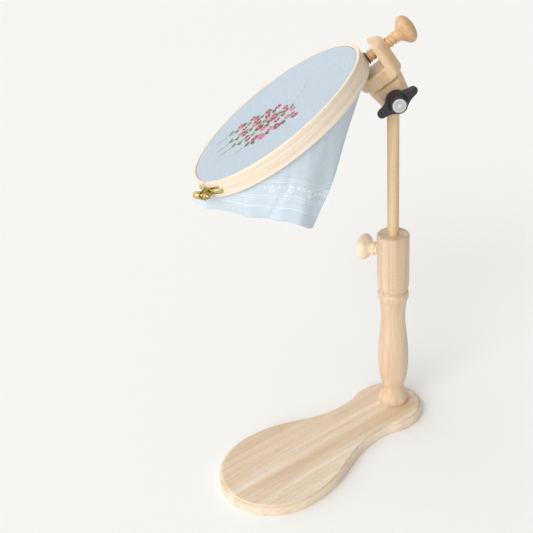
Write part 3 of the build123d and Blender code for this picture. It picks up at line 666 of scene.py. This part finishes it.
head = [(-27.5, 1.6), (-27.3, 3.0), (-26.7, 4.3), (-26.0, 4.6), (-25.5, 4.1), (-25.3, 3.9), (-25.0, 4.8),
        (-24.6, 5.15), (-22.0, 5.2), (-19.0, 5.2), (-16.0, 5.2), (-15.2, 5.15), (-14.8, 4.8),
        (-14.5, 3.9), (-14.2, 4.1), (-13.6, 4.6), (-12.9, 4.6), (-12.3, 4.0), (-11.8, 2.9), (-11.0, 2.5),
        (-9.6, 2.4), (-8.6, 2.7), (-8.0, 3.3), (-7.2, 3.6), (-6.2, 3.6), (-5.4, 3.3), (-4.9, 3.6),
        (-4.6, 3.5), (-4.5, 2.0), (-4.3, 1.95)]
shank = [(shank_start + shank_step * i, shank_radius) for i in range(int(shank_length / shank_step))]
points, faces = lathe(head + shank + [(14.7, 1.6), (14.8, 1.2)], screw_place, 64, brass_cut)
screw = piece("hoop_screw_fluted", points, faces, brass, "hoop_thumb")
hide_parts("hoop_screw")
barrel = [(4.3, 2.05), (4.3, 3.6), (4.5, 4.0), (4.9, 4.2), (7.6, 4.2), (7.9, 4.0), (8.7, 4.0),
          (9.0, 4.2), (11.7, 4.2), (12.1, 4.0), (12.3, 3.6), (12.3, 2.4), (12.1, 2.05)]
points, faces = lathe(barrel, screw_place, 64, loop=True)
nut = piece("hoop_nut_turned", points, faces, brass, "hoop")
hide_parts("hoop_nut")
print("thumb screw rows:", len(head) + len(shank))

# %% [markdown]
# ## The cloth
# One piece of white cotton lies drum-tight over the inner ring, turns down between the two rings and
# hangs free below them, with a hem round its edge and one woven band. A cloth simulation would be the
# usual way to hang it, but a cloth held by two rings is stretched where it is flat and nearly straight
# where it hangs, so its shape is known: it follows the rings exactly, then drops under its own weight
# to a hem that is nearly level at the front. The cloth is a rectangle, so its two rear corners hang
# lowest, and from them its own edge runs up towards the clamp at each side. Under the clasp the cloth
# is gathered and stands out. It is therefore written as a function of the angle round the hoop and
# the way down from the ring, with soft folds that grow towards the hem, three sharper pleats, and
# short strain creases under the ring. The same function later tells the stitches where the cloth is.

# %% The cloth's shape
inner_low, inner_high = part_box("inner_ring")
inner_radius = (inner_high.y - inner_low.y) / 2 / MM
edge_round = 1.2  # the inner ring's rounded top edge
half_cloth = 0.2
tight_radius = inner_radius + half_cloth
inner_top = (inner_high - inner_low).z / MM
inner_top = (inner_top - 2 * inner_radius * math.sin(lean)) / math.cos(lean)
cloth_top = inner_top + half_cloth
hem_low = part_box("cloth_skirt_front")[0].z / MM
# the cloth's own side edge: where it meets the ring, how steeply it rises and how much the cloth slants
side_edge_x, side_edge_slope, sideways = -90.0, 3.6, 0.22
# how far the cloth hangs below the ring, at least: beside the clamp and at the clamp
least_drop, clamp_drop = 9.0, 5.0
# the two low corners hang this many degrees round from the hoop's front
rear_corner = 121
# the gathers' place and width, in degrees round the hoop, whose front is at 180
gather_at, gather_width = 190, 17
# each pleat: its depth in mm, then its place, its drift towards the hem and its width in degrees
pleats = ((8.0, 216, 5, 3.6), (6.0, 146, 0, 5), (3.2, 278, -16, 3.2))


def rim(angle):
    """Where the cloth leaves the rings, in mm."""
    spot = Vector((tight_radius * math.cos(angle), tight_radius * math.sin(angle), -0.1)) * MM
    return (hoop_frame @ spot) / MM


def flare(angle):
    """1 where a corner of the cloth stands out under the clasp, and 0 away from it."""
    return math.exp(-((math.degrees(angle) % 360 - gather_at) / gather_width) ** 2)


def hem_height(angle):
    """Height of the front hem's edge, in mm: lowest at the two rear corners."""
    apart = min(abs(math.degrees(angle) % 360 - 180), rear_corner)
    corner = 19.0 * math.exp(-((apart - rear_corner) / 15) ** 2)
    return hem_low - corner + 5.0 * between(apart, 30, 55) - 7.0 * flare(angle)


def drop_at(angle):
    """Length of cloth below the ring at an angle, in mm."""
    top = rim(angle)
    hem = hem_height(angle) + side_edge_slope * max(0.0, top.x - side_edge_x)
    drop = max(top.z - hem, least_drop)
    from_clamp = abs((math.degrees(angle) + 180) % 360 - 180)
    return clamp_drop + (drop - clamp_drop) * between(from_clamp, 11.0, 20.0)


def fold(angle, down, drop):
    """How far the cloth stands out from a plain hang, in mm; down is 0 at the ring and 1 at the hem."""
    waves = 0.50 * math.sin(5 * angle + 0.9) + 0.34 * math.sin(9 * angle + 2.2)
    waves += 0.22 * math.sin(17 * angle + 4.0)
    degrees = math.degrees(angle) % 360
    creased = sum(deep * math.exp(-((degrees - at - drift * down) / wide) ** 2)
                  for deep, at, drift, wide in pleats)
    strain = 0.9 * math.sin(43 * angle + 2 * math.sin(3 * angle)) * math.exp(-7 * down)
    room = min(drop / 90, 1.0)
    # the hem is flatter than the hoop is round, so it pulls in at each side of the front
    apart = abs(degrees - 180) / 105
    flattened = 13.0 * math.sin(math.pi * apart) * down ** 1.1 if apart < 1 else 0.0
    plain = room * (6.5 * waves * down ** 1.3 - creased * down ** 1.15) + strain * min(down * 12, 1.0)
    gathers = 15.0 + 3.2 * math.sin(27 * angle + 0.6) + 1.6 * math.sin(45 * angle + 6 * down)
    return plain - flattened + gathers * flare(angle) * down


def hang(angle, down):
    """A point of the hanging cloth, in mm."""
    top = rim(angle)
    drop = drop_at(angle)
    fallen = drop * down
    outward = across * math.cos(angle) + level * math.sin(angle)
    outward.z = 0.0
    place = top + Vector((-sideways * fallen, 0.0, -fallen))
    return place + outward.normalized() * fold(angle, down, drop)


def panel_height(radius, angle=0.0):
    """Height of the stretched cloth in mm: it dips in the middle and ripples faintly near the ring."""
    inside = min(radius / (inner_radius - 6.2), 1.0)
    ripple = 0.07 * math.sin(38 * angle) * between(radius, 86, 112) * (1 - between(radius, 114, 119))
    return cloth_top - 0.9 * (1 - inside * inside) + ripple


print("cloth radius, top and hem, mm:", round(tight_radius, 2), round(cloth_top, 2), round(hem_low, 1))

# %% [markdown]
# ## Cotton evenweave
# Cloth for counted stitches is woven in blocks, here 1.8 mm apart (14 to the inch), four threads each
# way to a block. Every block is a small cushion with holes at its corners. Two waves at right angles
# give the cushions, and one noise in each direction makes some threads thicker than others, as real
# yarn is. The weave is drawn in the cloth's own flat millimetres, which the mesh carries as an
# attribute, so it stays square where the cloth hangs and folds. Bleached cotton looks faintly blue,
# and its fuzz scatters light at glancing angles, which is what Sheen is for.

# %% Cloth material
def woven_cotton(name, colour, shade, block=1.8):
    """Bleached cotton in blocks, with a denser woven band, a hem in painted shade with a painted highlight
    along its edge, and painted shade on the stretched panel.
    """
    material, tree = blank(name)
    flat = add(tree, "Attribute", {"attribute_name": "cloth_mm"}).outputs["Vector"]
    parts = add(tree, "SeparateXYZ", {}, {0: flat})
    waves = []
    for axis in (0, 1):
        turn = add(tree, "Math", {"operation": "MULTIPLY"}, {0: parts.outputs[axis], 1: math.tau / block})
        wave = add(tree, "Math", {"operation": "COSINE"}, {0: turn.outputs[0]})
        waves.append(wave.outputs[0])
    cushions = add(tree, "Math", {"operation": "ADD"}, {0: waves[0], 1: waves[1]}).outputs[0]
    cushions = add(tree, "MapRange", {}, {"Value": cushions, "From Min": -2.0, "From Max": 1.2}).outputs[0]
    yarns = []
    for scale in ((60.0, 1.1, 1.0), (1.1, 60.0, 1.0)):
        drawn = add(tree, "Mapping", {"vector_type": "TEXTURE"}, {"Vector": flat, "Scale": scale})
        yarn = add(tree, "TexNoise", {"noise_dimensions": "2D"},
                   {"Vector": drawn.outputs[0], "Scale": 1.0, "Detail": 2.0})
        yarns.append(yarn.outputs[0])
    slubs = add(tree, "Math", {"operation": "ADD"}, {0: yarns[0], 1: yarns[1]}).outputs[0]
    slubs = add(tree, "MapRange", {}, {"Value": slubs, "From Min": 0.7, "From Max": 1.3}).outputs[0]
    # paler lines, 1.4 mm each: one just above the hem marks its turned edge and is a painted highlight along
    # its step, and two at each edge of the band are denser weft
    up = parts.outputs[1]
    lines = None
    for height in (17.2, 30.0, 33.0, 51.0, 54.0):
        off = add(tree, "Math", {"operation": "SUBTRACT"}, {0: up, 1: height}).outputs[0]
        off = add(tree, "Math", {"operation": "ABSOLUTE"}, {0: off}).outputs[0]
        line = add(tree, "MapRange", {}, {"Value": off, "From Min": 0.7, "From Max": 0.4}).outputs[0]
        if lines is not None:
            line = add(tree, "Math", {"operation": "MAXIMUM"}, {0: lines, 1: line}).outputs[0]
        lines = line
    # the attribute's third number is the distance from an edge, and the stretched cloth has 1000 there
    skirt = add(tree, "Math", {"operation": "LESS_THAN"}, {0: parts.outputs[2], 1: 500.0}).outputs[0]
    lines = add(tree, "Math", {"operation": "MULTIPLY"}, {0: lines, 1: skirt}).outputs[0]
    hem = add(tree, "MapRange", {},
              {"Value": parts.outputs[2], "From Min": 16.5, "From Max": 15.8}).outputs[0]
    # colour: shade lies in the holes and on thin yarn, the lines are a little paler, and the hem has painted
    # shade, a touch darker
    tone = add(tree, "Math", {"operation": "MULTIPLY"}, {0: cushions, 1: 0.55}).outputs[0]
    tone = add(tree, "Math", {"operation": "MULTIPLY_ADD"}, {0: slubs, 1: 0.35, 2: tone}).outputs[0]
    # painted shade: the hem is taken a little towards the shade colour
    tone = add(tree, "Math", {"operation": "MULTIPLY_ADD"}, {0: hem, 1: -0.10, 2: tone}).outputs[0]
    tone = add(tree, "Math", {"operation": "MULTIPLY_ADD", "use_clamp": True},
               {0: lines, 1: 0.5, 2: tone}).outputs[0]
    base = add(tree, "Mix", {"data_type": "RGBA"}, {"Factor": tone, 6: rgb(shade), 7: rgb(colour)}).outputs[2]
    # painted shade: the stretched panel is multiplied darker, standing in for the dark hollow behind it
    # showing through a little
    panel_painted_shade = add(tree, "Mix", {"data_type": "RGBA", "blend_type": "MULTIPLY"},
                 {"Factor": 1.0, 6: base, 7: rgb("#DFE3E6")})
    base = add(tree, "Mix", {"data_type": "RGBA"},
               {"Factor": skirt, 6: panel_painted_shade.outputs[2], 7: base}).outputs[2]
    height = add(tree, "Math", {"operation": "MULTIPLY_ADD"}, {0: slubs, 1: 0.5, 2: cushions}).outputs[0]
    height = add(tree, "Math", {"operation": "MULTIPLY_ADD"}, {0: lines, 1: 1.2, 2: height}).outputs[0]
    bump = add(tree, "Bump", {}, {"Height": height, "Strength": 0.6, "Distance": 0.22 * MM})
    fuzzy = add(tree, "BsdfPrincipled", {},
                {"Base Color": base, "Roughness": 0.86, "Normal": bump.outputs[0], "IOR": 1.46,
                 "Sheen Weight": 0.25, "Sheen Roughness": 0.45})
    add(tree, "OutputMaterial", {}, {"Surface": fuzzy.outputs[0]})
    return material


cotton = woven_cotton("cotton_evenweave_bleached", "#D9E4ED", "#B3C3D0")
print("cotton's nodes:", len(cotton.node_tree.nodes))

# %% [markdown]
# The mesh is a fan at the centre and then rings of points: across the panel, over the inner ring's
# rounded edge, down between the rings, and down the hanging part to the hem. The rows are close
# together at the hem so that its doubled cloth ends in a crisp step. Solidify is set to 1 mm, which is
# the folded hem, and a vertex group takes it down to 0.4 mm everywhere else. Each point also carries
# the cloth's own flat place. On the stretched part that is the place on the hoop. On the hanging part
# it is how far round, how far above the front hem and how far from the nearest edge.

# %% Cloth mesh
around = 300
angles = [math.tau * k / around for k in range(around)]
single = 0.4  # share of the hem's thickness
no_edge = 1000.0  # stands for "nowhere near an edge"
points = [hoop_frame @ (Vector((0, 0, panel_height(0))) * MM)]
flat_mm, weights = [(0.0, 0.0, no_edge)], [single]


def add_ring(radius, height):
    """One ring of cloth points on the hoop."""
    for angle in angles:
        h = panel_height(radius, angle) if height is None else height
        spot = Vector((radius * math.cos(angle), radius * math.sin(angle), h))
        points.append(hoop_frame @ (spot * MM))
        flat_mm.append((spot.x, spot.y, no_edge))
        weights.append(single)


panel_radii = [4 + 6 * i for i in range(18)] + [110, 114, 117, 119, 120.2, 122, 123.8]
for radius in panel_radii + [inner_radius - edge_round]:
    add_ring(radius, None)
turn_radius = edge_round + half_cloth
for bend in (22.5, 45, 67.5, 90):
    angle = math.radians(bend)
    add_ring(inner_radius - edge_round + turn_radius * math.sin(angle),
             cloth_top - turn_radius * (1 - math.cos(angle)))
for height in (18.0, 12.0, 6.0, 1.0):
    add_ring(tight_radius, height)

hem_rows = [24, 21, 18.5, 17.0, 16.4, 15.6, 14.5, 12, 9, 6, 3, 1, 0]
# the even rows stop hem_zone above the edge, and where the cloth is shorter than full_drop the hem's
# rows move closer together
upper_rows, hem_zone, full_drop = 34, 25.5, 48
side_hem_share = 2.6  # a hem on the side edge is this many times narrower
for row in range(upper_rows + len(hem_rows)):
    for angle in angles:
        drop = drop_at(angle)
        squeeze = min(1.0, drop / full_drop)
        if row < upper_rows:
            fallen = (drop - hem_zone * squeeze) * row / (upper_rows - 1)
        else:
            fallen = drop - hem_rows[row - upper_rows] * squeeze
        place = hang(angle, fallen / drop)
        points.append(place * MM)
        plain = rim(angle)
        level_up = plain.z - fallen - hem_height(angle)
        side_up = (level_up - side_edge_slope * (plain.x - side_edge_x)) / math.hypot(1, side_edge_slope)
        edge = min(level_up, side_hem_share * side_up) if plain.x > side_edge_x else level_up
        flat_mm.append((angle * tight_radius, level_up, edge))
        weights.append(single + (1 - single) * (1 - between(edge, 15.7, 16.4)))

# %% Cloth piece with its thickness
faces = [(0, 1 + k, 1 + (k + 1) % around) for k in range(around)]
ring_count = (len(points) - 1) // around
for i in range(ring_count - 1):
    for k in range(around):
        low, high, nxt = 1 + i * around, 1 + (i + 1) * around, (k + 1) % around
        faces.append((low + k, high + k, high + nxt, low + nxt))
cloth = piece("hoop_cloth", points, faces, cotton, "hoop")
attribute = cloth.data.attributes.new("cloth_mm", "FLOAT_VECTOR", "POINT")
attribute.data.foreach_set("vector", [c for spot in flat_mm for c in spot])
group = cloth.vertex_groups.new(name="doubled")
for index, weight in enumerate(weights):
    group.add([index], min(weight, 1.0), "REPLACE")
thick = cloth.modifiers.new("cloth_thickness", "SOLIDIFY")
thick.thickness = 1.0 * MM
thick.offset = 0.0
thick.vertex_group = "doubled"
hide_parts("cloth_panel", "cloth_collar", "cloth_skirt_back", "cloth_skirt_front")
cloth_area = sum(face.area for face in cloth.data.polygons)
print("cloth points:", len(points), "area m2:", round(cloth_area, 4))

# %% [markdown]
# ## Embroidery
# The spray is satin stitch: glossy threads laid side by side, each from one edge of a petal or leaf to
# the other. A painted pattern would lie flat, so every stitch is its own small raised lens of thread,
# 0.8 mm wide and 0.4 mm high. A stitch needs only two ends, a direction that is "up" and a colour.
# Petals, leaves and stems place their stitches in flat millimetres, and a surface function puts those on
# the cloth, so the same code also works white flowers on the hanging part.
# The design is a plain country one: four long sprigs side by side, each with small blossoms and leaves
# on short twigs to its left and right in turn.

# %% Thread materials
def embroidery_cotton(name, colour, light):
    """Six-strand cotton: strands show as fine lines of light along the thread."""
    material, tree = blank(name)
    mm = point_in_mm(tree)
    strands = add(tree, "TexNoise", {},
                  {"Vector": mm, "Scale": 1.6, "Detail": 3.0, "Roughness": 0.7}).outputs[0]
    strands = add(tree, "MapRange", {}, {"Value": strands, "From Min": 0.35, "From Max": 0.7}).outputs[0]
    base = add(tree, "Mix", {"data_type": "RGBA"},
               {"Factor": strands, 6: rgb(colour), 7: rgb(light)}).outputs[2]
    bump = add(tree, "Bump", {}, {"Height": strands, "Strength": 0.5, "Distance": 0.1 * MM})
    lustre = add(tree, "BsdfPrincipled", {},
                 {"Base Color": base, "Roughness": 0.55, "Normal": bump.outputs[0], "IOR": 1.5,
                  "Sheen Weight": 0.2})
    add(tree, "OutputMaterial", {}, {"Surface": lustre.outputs[0]})
    return material


threads = [embroidery_cotton("thread_deep_rose", "#93204A", "#B23A63"),
           embroidery_cotton("thread_rose", "#B93A66", "#D06088"),
           embroidery_cotton("thread_pink", "#D07E9A", "#E0A2B6"),
           embroidery_cotton("thread_leaf_green", "#3C5236", "#566E46"),
           embroidery_cotton("thread_moss", "#78824A", "#97A067"),
           embroidery_cotton("thread_bark", "#72603F", "#8F7C58"),
           embroidery_cotton("thread_straw", "#C99F45", "#DDBD72"),
           embroidery_cotton("thread_white", "#D2DEE8", "#E4EEF5"),
           # the last thread is the white thread darkened as painted shade, to match the painted shade on the
           # panel
           embroidery_cotton("thread_white_painted_shade", "#A9B8C4", "#C0CDD8")]
DEEP, ROSE, PINK, LEAF, MOSS, BARK, STRAW, WHITE, WHITE_IN_SHADE = range(9)
print("threads:", len(threads))

# %% One stitch, and where it lies
rng = random.Random(11)
# a stitch's form: (share of its length, share of its full size), and the section at full size
taper = ((0.0, 0.35), (0.14, 0.85), (0.5, 1.0), (0.86, 0.85), (1.0, 0.35))
lens = ((-1, 0.0), (-0.72, 0.7), (0, 1.0), (0.72, 0.7), (1, 0.0), (0, -0.5))


def stitch(work, on, start, end, colour, width=0.8, height=0.4):
    """Adds one laid thread between two flat places to the work."""
    (a, up), (b, other_up) = on(*start), on(*end)
    run = b - a
    if run.length < 1e-6:
        return
    side = run.cross(up).normalized()
    first, sides = len(work["points"]), len(lens)
    for share, size in taper:
        lift = up.lerp(other_up, share)
        for aside_share, up_share in lens:
            aside_mm, up_mm = aside_share * width / 2 * size, up_share * height * size
            work["points"].append((a + run * share + side * aside_mm + lift * up_mm) * MM)
    for low in range(first, first + sides * (len(taper) - 1), sides):
        for j in range(sides):
            nxt = (j + 1) % sides
            work["faces"].append((low + j, low + nxt, low + sides + nxt, low + sides + j))
            work["colours"].append(colour)
    last = first + sides * (len(taper) - 1)
    for cap in (tuple(reversed(range(first, first + sides))), tuple(range(last, last + sides))):
        work["faces"].append(cap)
        work["colours"].append(colour)


def on_panel(s, y):
    """Place and upward direction on the stretched cloth, in mm."""
    height = panel_height(math.hypot(s, y)) + half_cloth
    return (hoop_frame @ (Vector((s, y, height)) * MM)) / MM, out


def on_skirt(arc, up):
    """Place and outward direction on the hanging cloth; arc is mm round it and up is mm above the hem."""
    def at(arc_mm, up_mm):
        angle = arc_mm / tight_radius
        down = (rim(angle).z - hem_height(angle) - up_mm) / drop_at(angle)
        return hang(angle, min(max(down, 0.0), 1.0))
    here = at(arc, up)
    face = (at(arc + 1, up) - here).cross(at(arc, up + 1) - here).normalized()
    return here + face * half_cloth, face


# %% [markdown]
# A petal is a fan of stitches from near the flower's middle to a rounded edge, in two shades: the outer
# half pale and the inner half deep, with their ends mixed so that one colour blends into the other. A
# leaf has slanted stitches on both sides of its midrib. A stem is a row of short overlapping stitches.

# %% Petals, leaves, stems
def blossom(work, on, s, y, radius, outer, inner, centre, petals=5):
    """A satin-stitched flower with a knotted centre."""
    first = rng.uniform(0, math.tau)
    per_petal = max(5, round(radius * 0.95))
    for petal in range(petals):
        for j in range(per_petal):
            t = (j + 0.5) / per_petal * 2 - 1
            angle = first + math.tau / petals * (petal + 0.44 * t)
            edge = radius * (0.72 + 0.28 * math.sqrt(1 - t * t)) + rng.uniform(-0.3, 0.3)
            blend = radius * rng.uniform(0.48, 0.66)
            c, d = math.cos(angle), math.sin(angle)
            stitch(work, on, (s + c * blend, y + d * blend), (s + c * edge, y + d * edge), outer, 0.95)
            stitch(work, on, (s + c * radius * 0.2, y + d * radius * 0.2),
                   (s + c * (blend + 1), y + d * (blend + 1)), inner, 0.8, 0.5)
    for knot in range(6):
        angle = math.tau * knot / 6
        ks, ky = s + 0.14 * radius * math.cos(angle), y + 0.14 * radius * math.sin(angle)
        stitch(work, on, (ks - 0.5, ky), (ks + 0.5, ky), centre, 1.1, 0.8)


def leaf(work, on, s, y, heading, length, width, colour):
    """A leaf whose stitches slant away from its midrib."""
    c, d = math.cos(heading), math.sin(heading)
    count = max(4, round(length / 0.95))
    for i in range(count):
        t = (i + 0.5) / count
        half = width * math.sin(math.pi * t ** 0.85) * 0.5
        for side in (1, -1):
            x0, x1 = t * length, min(t * length + half * 1.1, length)
            start = (s + c * x0, y + d * x0)
            end = (s + c * x1 - side * d * half, y + d * x1 + side * c * half)
            stitch(work, on, start, end, colour, 0.85)


def stem(work, on, start, bend, end, colour, width=0.8):
    """Stem stitch along a curve from start to end that is pulled towards bend; returns the curve."""
    def at(t):
        a, b, c = (1 - t) ** 2, 2 * t * (1 - t), t * t
        return (a * start[0] + b * bend[0] + c * end[0], a * start[1] + b * bend[1] + c * end[1])
    count = max(3, round(math.dist(start, end) / 2.6))
    for i in range(count):
        stitch(work, on, at(i / count), at(min((i + 1.25) / count, 1.0)), colour, width)
    return at


def finish_work(name, work):
    """Turns the collected stitches into one piece."""
    obj = piece(name, work["points"], work["faces"], threads[0], "hoop")
    for thread in threads[1:]:
        obj.data.materials.append(thread)
    obj.data.polygons.foreach_set("material_index", work["colours"])
    print(name, "stitches:", len(work["points"]) // (len(taper) * len(lens)))
    return obj


# %% The flower spray
spray = {"points": [], "faces": [], "colours": []}
# each long sprig's start, bend and end on the hoop, in mm from its middle
branches = [((-92, 35), (-42, 36), (2, 6)), ((-90, 4), (-46, 12), (10, -16)),
            ((-88, -13), (-40, -20), (25, -32)), ((-64, -45), (-26, -48), (22, -58))]
blossom_threads = ((ROSE, DEEP), (DEEP, DEEP), (PINK, ROSE))
heads = []
for start, bend, end in branches:
    curve = stem(spray, on_panel, start, bend, end, BARK)
    count = round(math.dist(start, end) / 13)
    for i in range(count):
        t = 0.2 + 0.78 * i / (count - 1)
        (s0, y0), (s1, y1) = curve(t), curve(t + 0.02)
        heading, side = math.atan2(y1 - y0, s1 - s0), 1 if i % 2 else -1
        turn, reach = heading + side * rng.uniform(0.5, 0.9), rng.uniform(8, 13)
        s2, y2 = s0 + reach * math.cos(turn), y0 + reach * math.sin(turn)
        stem(spray, on_panel, (s0, y0), (s0 + 0.6 * (s2 - s0), y0 + 0.3 * (y2 - y0)), (s2, y2), MOSS, 0.7)
        for slant in (-0.6, -1.0):
            leaf(spray, on_panel, s0, y0, heading + side * slant, rng.uniform(8, 12), rng.uniform(3.2, 4.4),
                 rng.choice((LEAF, LEAF, MOSS)))
        if t > 0.3:
            heads.append((s2, y2, rng.uniform(4.6, 7.0), *rng.choice(blossom_threads)))
for s, y, radius, outer, inner in heads:
    blossom(spray, on_panel, s, y, radius, outer, inner, STRAW)
embroidery = finish_work("flower_spray", spray)

# %% [markdown]
# White work on white cloth shows by little more than its relief. A row of blossoms runs round the woven
# band, and a running stitch holds the hem: 2.6 mm of thread and 1.6 mm of gap, 14 mm above the edge. A
# small sprig near the spray is worked the same way in white thread with painted shade: a grey copy of the
# white thread, darkened as the stretched panel under it is darkened.

# %% White sprig, band and hem stitches
white_work = {"points": [], "faces": [], "colours": []}
curve = stem(white_work, on_panel, (30, -18), (46, -8), (54, 18), WHITE_IN_SHADE)
for t, side in ((0.2, 1), (0.35, -1), (0.5, 1), (0.65, -1), (0.8, 1), (0.93, -1)):
    (s0, y0), (s1, y1) = curve(t), curve(t + 0.02)
    leaf(white_work, on_panel, s0, y0, math.atan2(y1 - y0, s1 - s0) + side * 0.8, 11, 4.5, WHITE_IN_SHADE)
blossom(white_work, on_panel, 55, 22, 7, WHITE_IN_SHADE, WHITE_IN_SHADE, WHITE_IN_SHADE)
hem_stitch, hem_gap, hem_line = 2.6, 1.6, 14.0
arc = 0.0
while arc < math.tau * tight_radius:
    angle = arc / tight_radius
    if rim(angle).x < side_edge_x and drop_at(angle) > 20:
        stitch(white_work, on_skirt, (arc, hem_line), (arc + hem_stitch, hem_line), WHITE, 0.7, 0.55)
    arc += hem_stitch + hem_gap
band_blossoms, band_line = 24, 42.0
for step in range(band_blossoms):
    arc = (step + 0.35) * math.tau * tight_radius / band_blossoms
    angle = arc / tight_radius
    has_room = rim(angle).z - hem_height(angle) > 56
    if has_room and rim(angle).x < side_edge_x + 10:
        blossom(white_work, on_skirt, arc, band_line, 6.5, WHITE, WHITE, WHITE)
        leaf(white_work, on_skirt, arc + 7, band_line, 0.4, 9, 4, WHITE)
        leaf(white_work, on_skirt, arc - 7, band_line, math.pi - 0.4, 9, 4, WHITE)
plain_stitches = finish_work("white_work_and_hem", white_work)

# %% [markdown]
# ## Studio
# A plain white card floor and light from the left, as from a wall of soft boxes: round things then turn
# from bright to shaded across their width and look round. The surround is brighter on the left than on
# the right, and one very soft sun, 40 degrees across, stands for the key light. A sun lights the floor
# evenly however large it is, where a lamp close by would leave a pool of light. The camera is a 54 mm
# lens about 1.3 m away, which looks down by 29 degrees and is rolled by 5. The Standard view transform
# keeps white cloth white.

# %% Camera
camera_data = bpy.data.cameras.new("studio_camera")
camera_data.lens = 54.03
camera_data.sensor_width = 36.0
camera = bpy.data.objects.new("studio_camera", camera_data)
bpy.context.scene.collection.objects.link(camera)
camera_right, camera_up = Vector((0.9962, -0.0422, -0.0762)), Vector((0.0872, 0.4828, 0.8714))
camera_back, camera_place = Vector((0.0, -0.8747, 0.4846)), Vector((-0.17902, -0.98515, 0.81503))
camera.matrix_world = frame_of(camera_right, camera_up, camera_back, camera_place)
bpy.context.scene.camera = camera
print("camera height, m:", round(camera.matrix_world.translation.z, 3))

# %% Surround and key light
world = bpy.data.worlds.new("studio_surround")
bpy.context.scene.world = world
world.use_nodes = True
way = add(world.node_tree, "TexCoord").outputs["Generated"]
way = add(world.node_tree, "SeparateXYZ", {}, {0: way}).outputs[0]
glow = add(world.node_tree, "MapRange", {"interpolation_type": "SMOOTHSTEP"},
           {"Value": way, "From Min": -0.9, "From Max": 0.9, "To Min": 1.26, "To Max": 0.36}).outputs[0]
background = world.node_tree.nodes["Background"]
background.inputs["Color"].default_value = rgb("#FFFFFF")
world.node_tree.links.new(glow, background.inputs["Strength"])

key_data = bpy.data.lights.new("soft_key", "SUN")
key_data.energy = 1.4
key_data.angle = math.radians(40)
key_data.color = rgb("#FFFAF4")[:3]
key = bpy.data.objects.new("soft_key", key_data)
key.rotation_mode = "QUATERNION"
key.rotation_quaternion = Vector((0.75, 1.0, -0.66)).to_track_quat("-Z", "Y")
bpy.context.scene.collection.objects.link(key)
bpy.context.scene.view_settings.view_transform = "Standard"
print("key light, degrees across:", round(math.degrees(key_data.angle)))

# %% Floor
floor_mesh = bpy.data.meshes.new("studio_floor")
reach = 14.0
floor_mesh.from_pydata([(-reach, -reach, 0), (reach, -reach, 0), (reach, reach, 0), (-reach, reach, 0)], [],
                       [(0, 1, 2, 3)])
floor = bpy.data.objects.new("studio_floor", floor_mesh)
bpy.context.scene.collection.objects.link(floor)
floor_card, floor_tree = blank("matt_white_card")
card = add(floor_tree, "BsdfPrincipled", {}, {"Base Color": rgb("#F4F4F2"), "Roughness": 0.9})
add(floor_tree, "OutputMaterial", {}, {"Surface": card.outputs[0]})
floor_mesh.materials.append(floor_card)
print("floor, m:", 2 * reach)
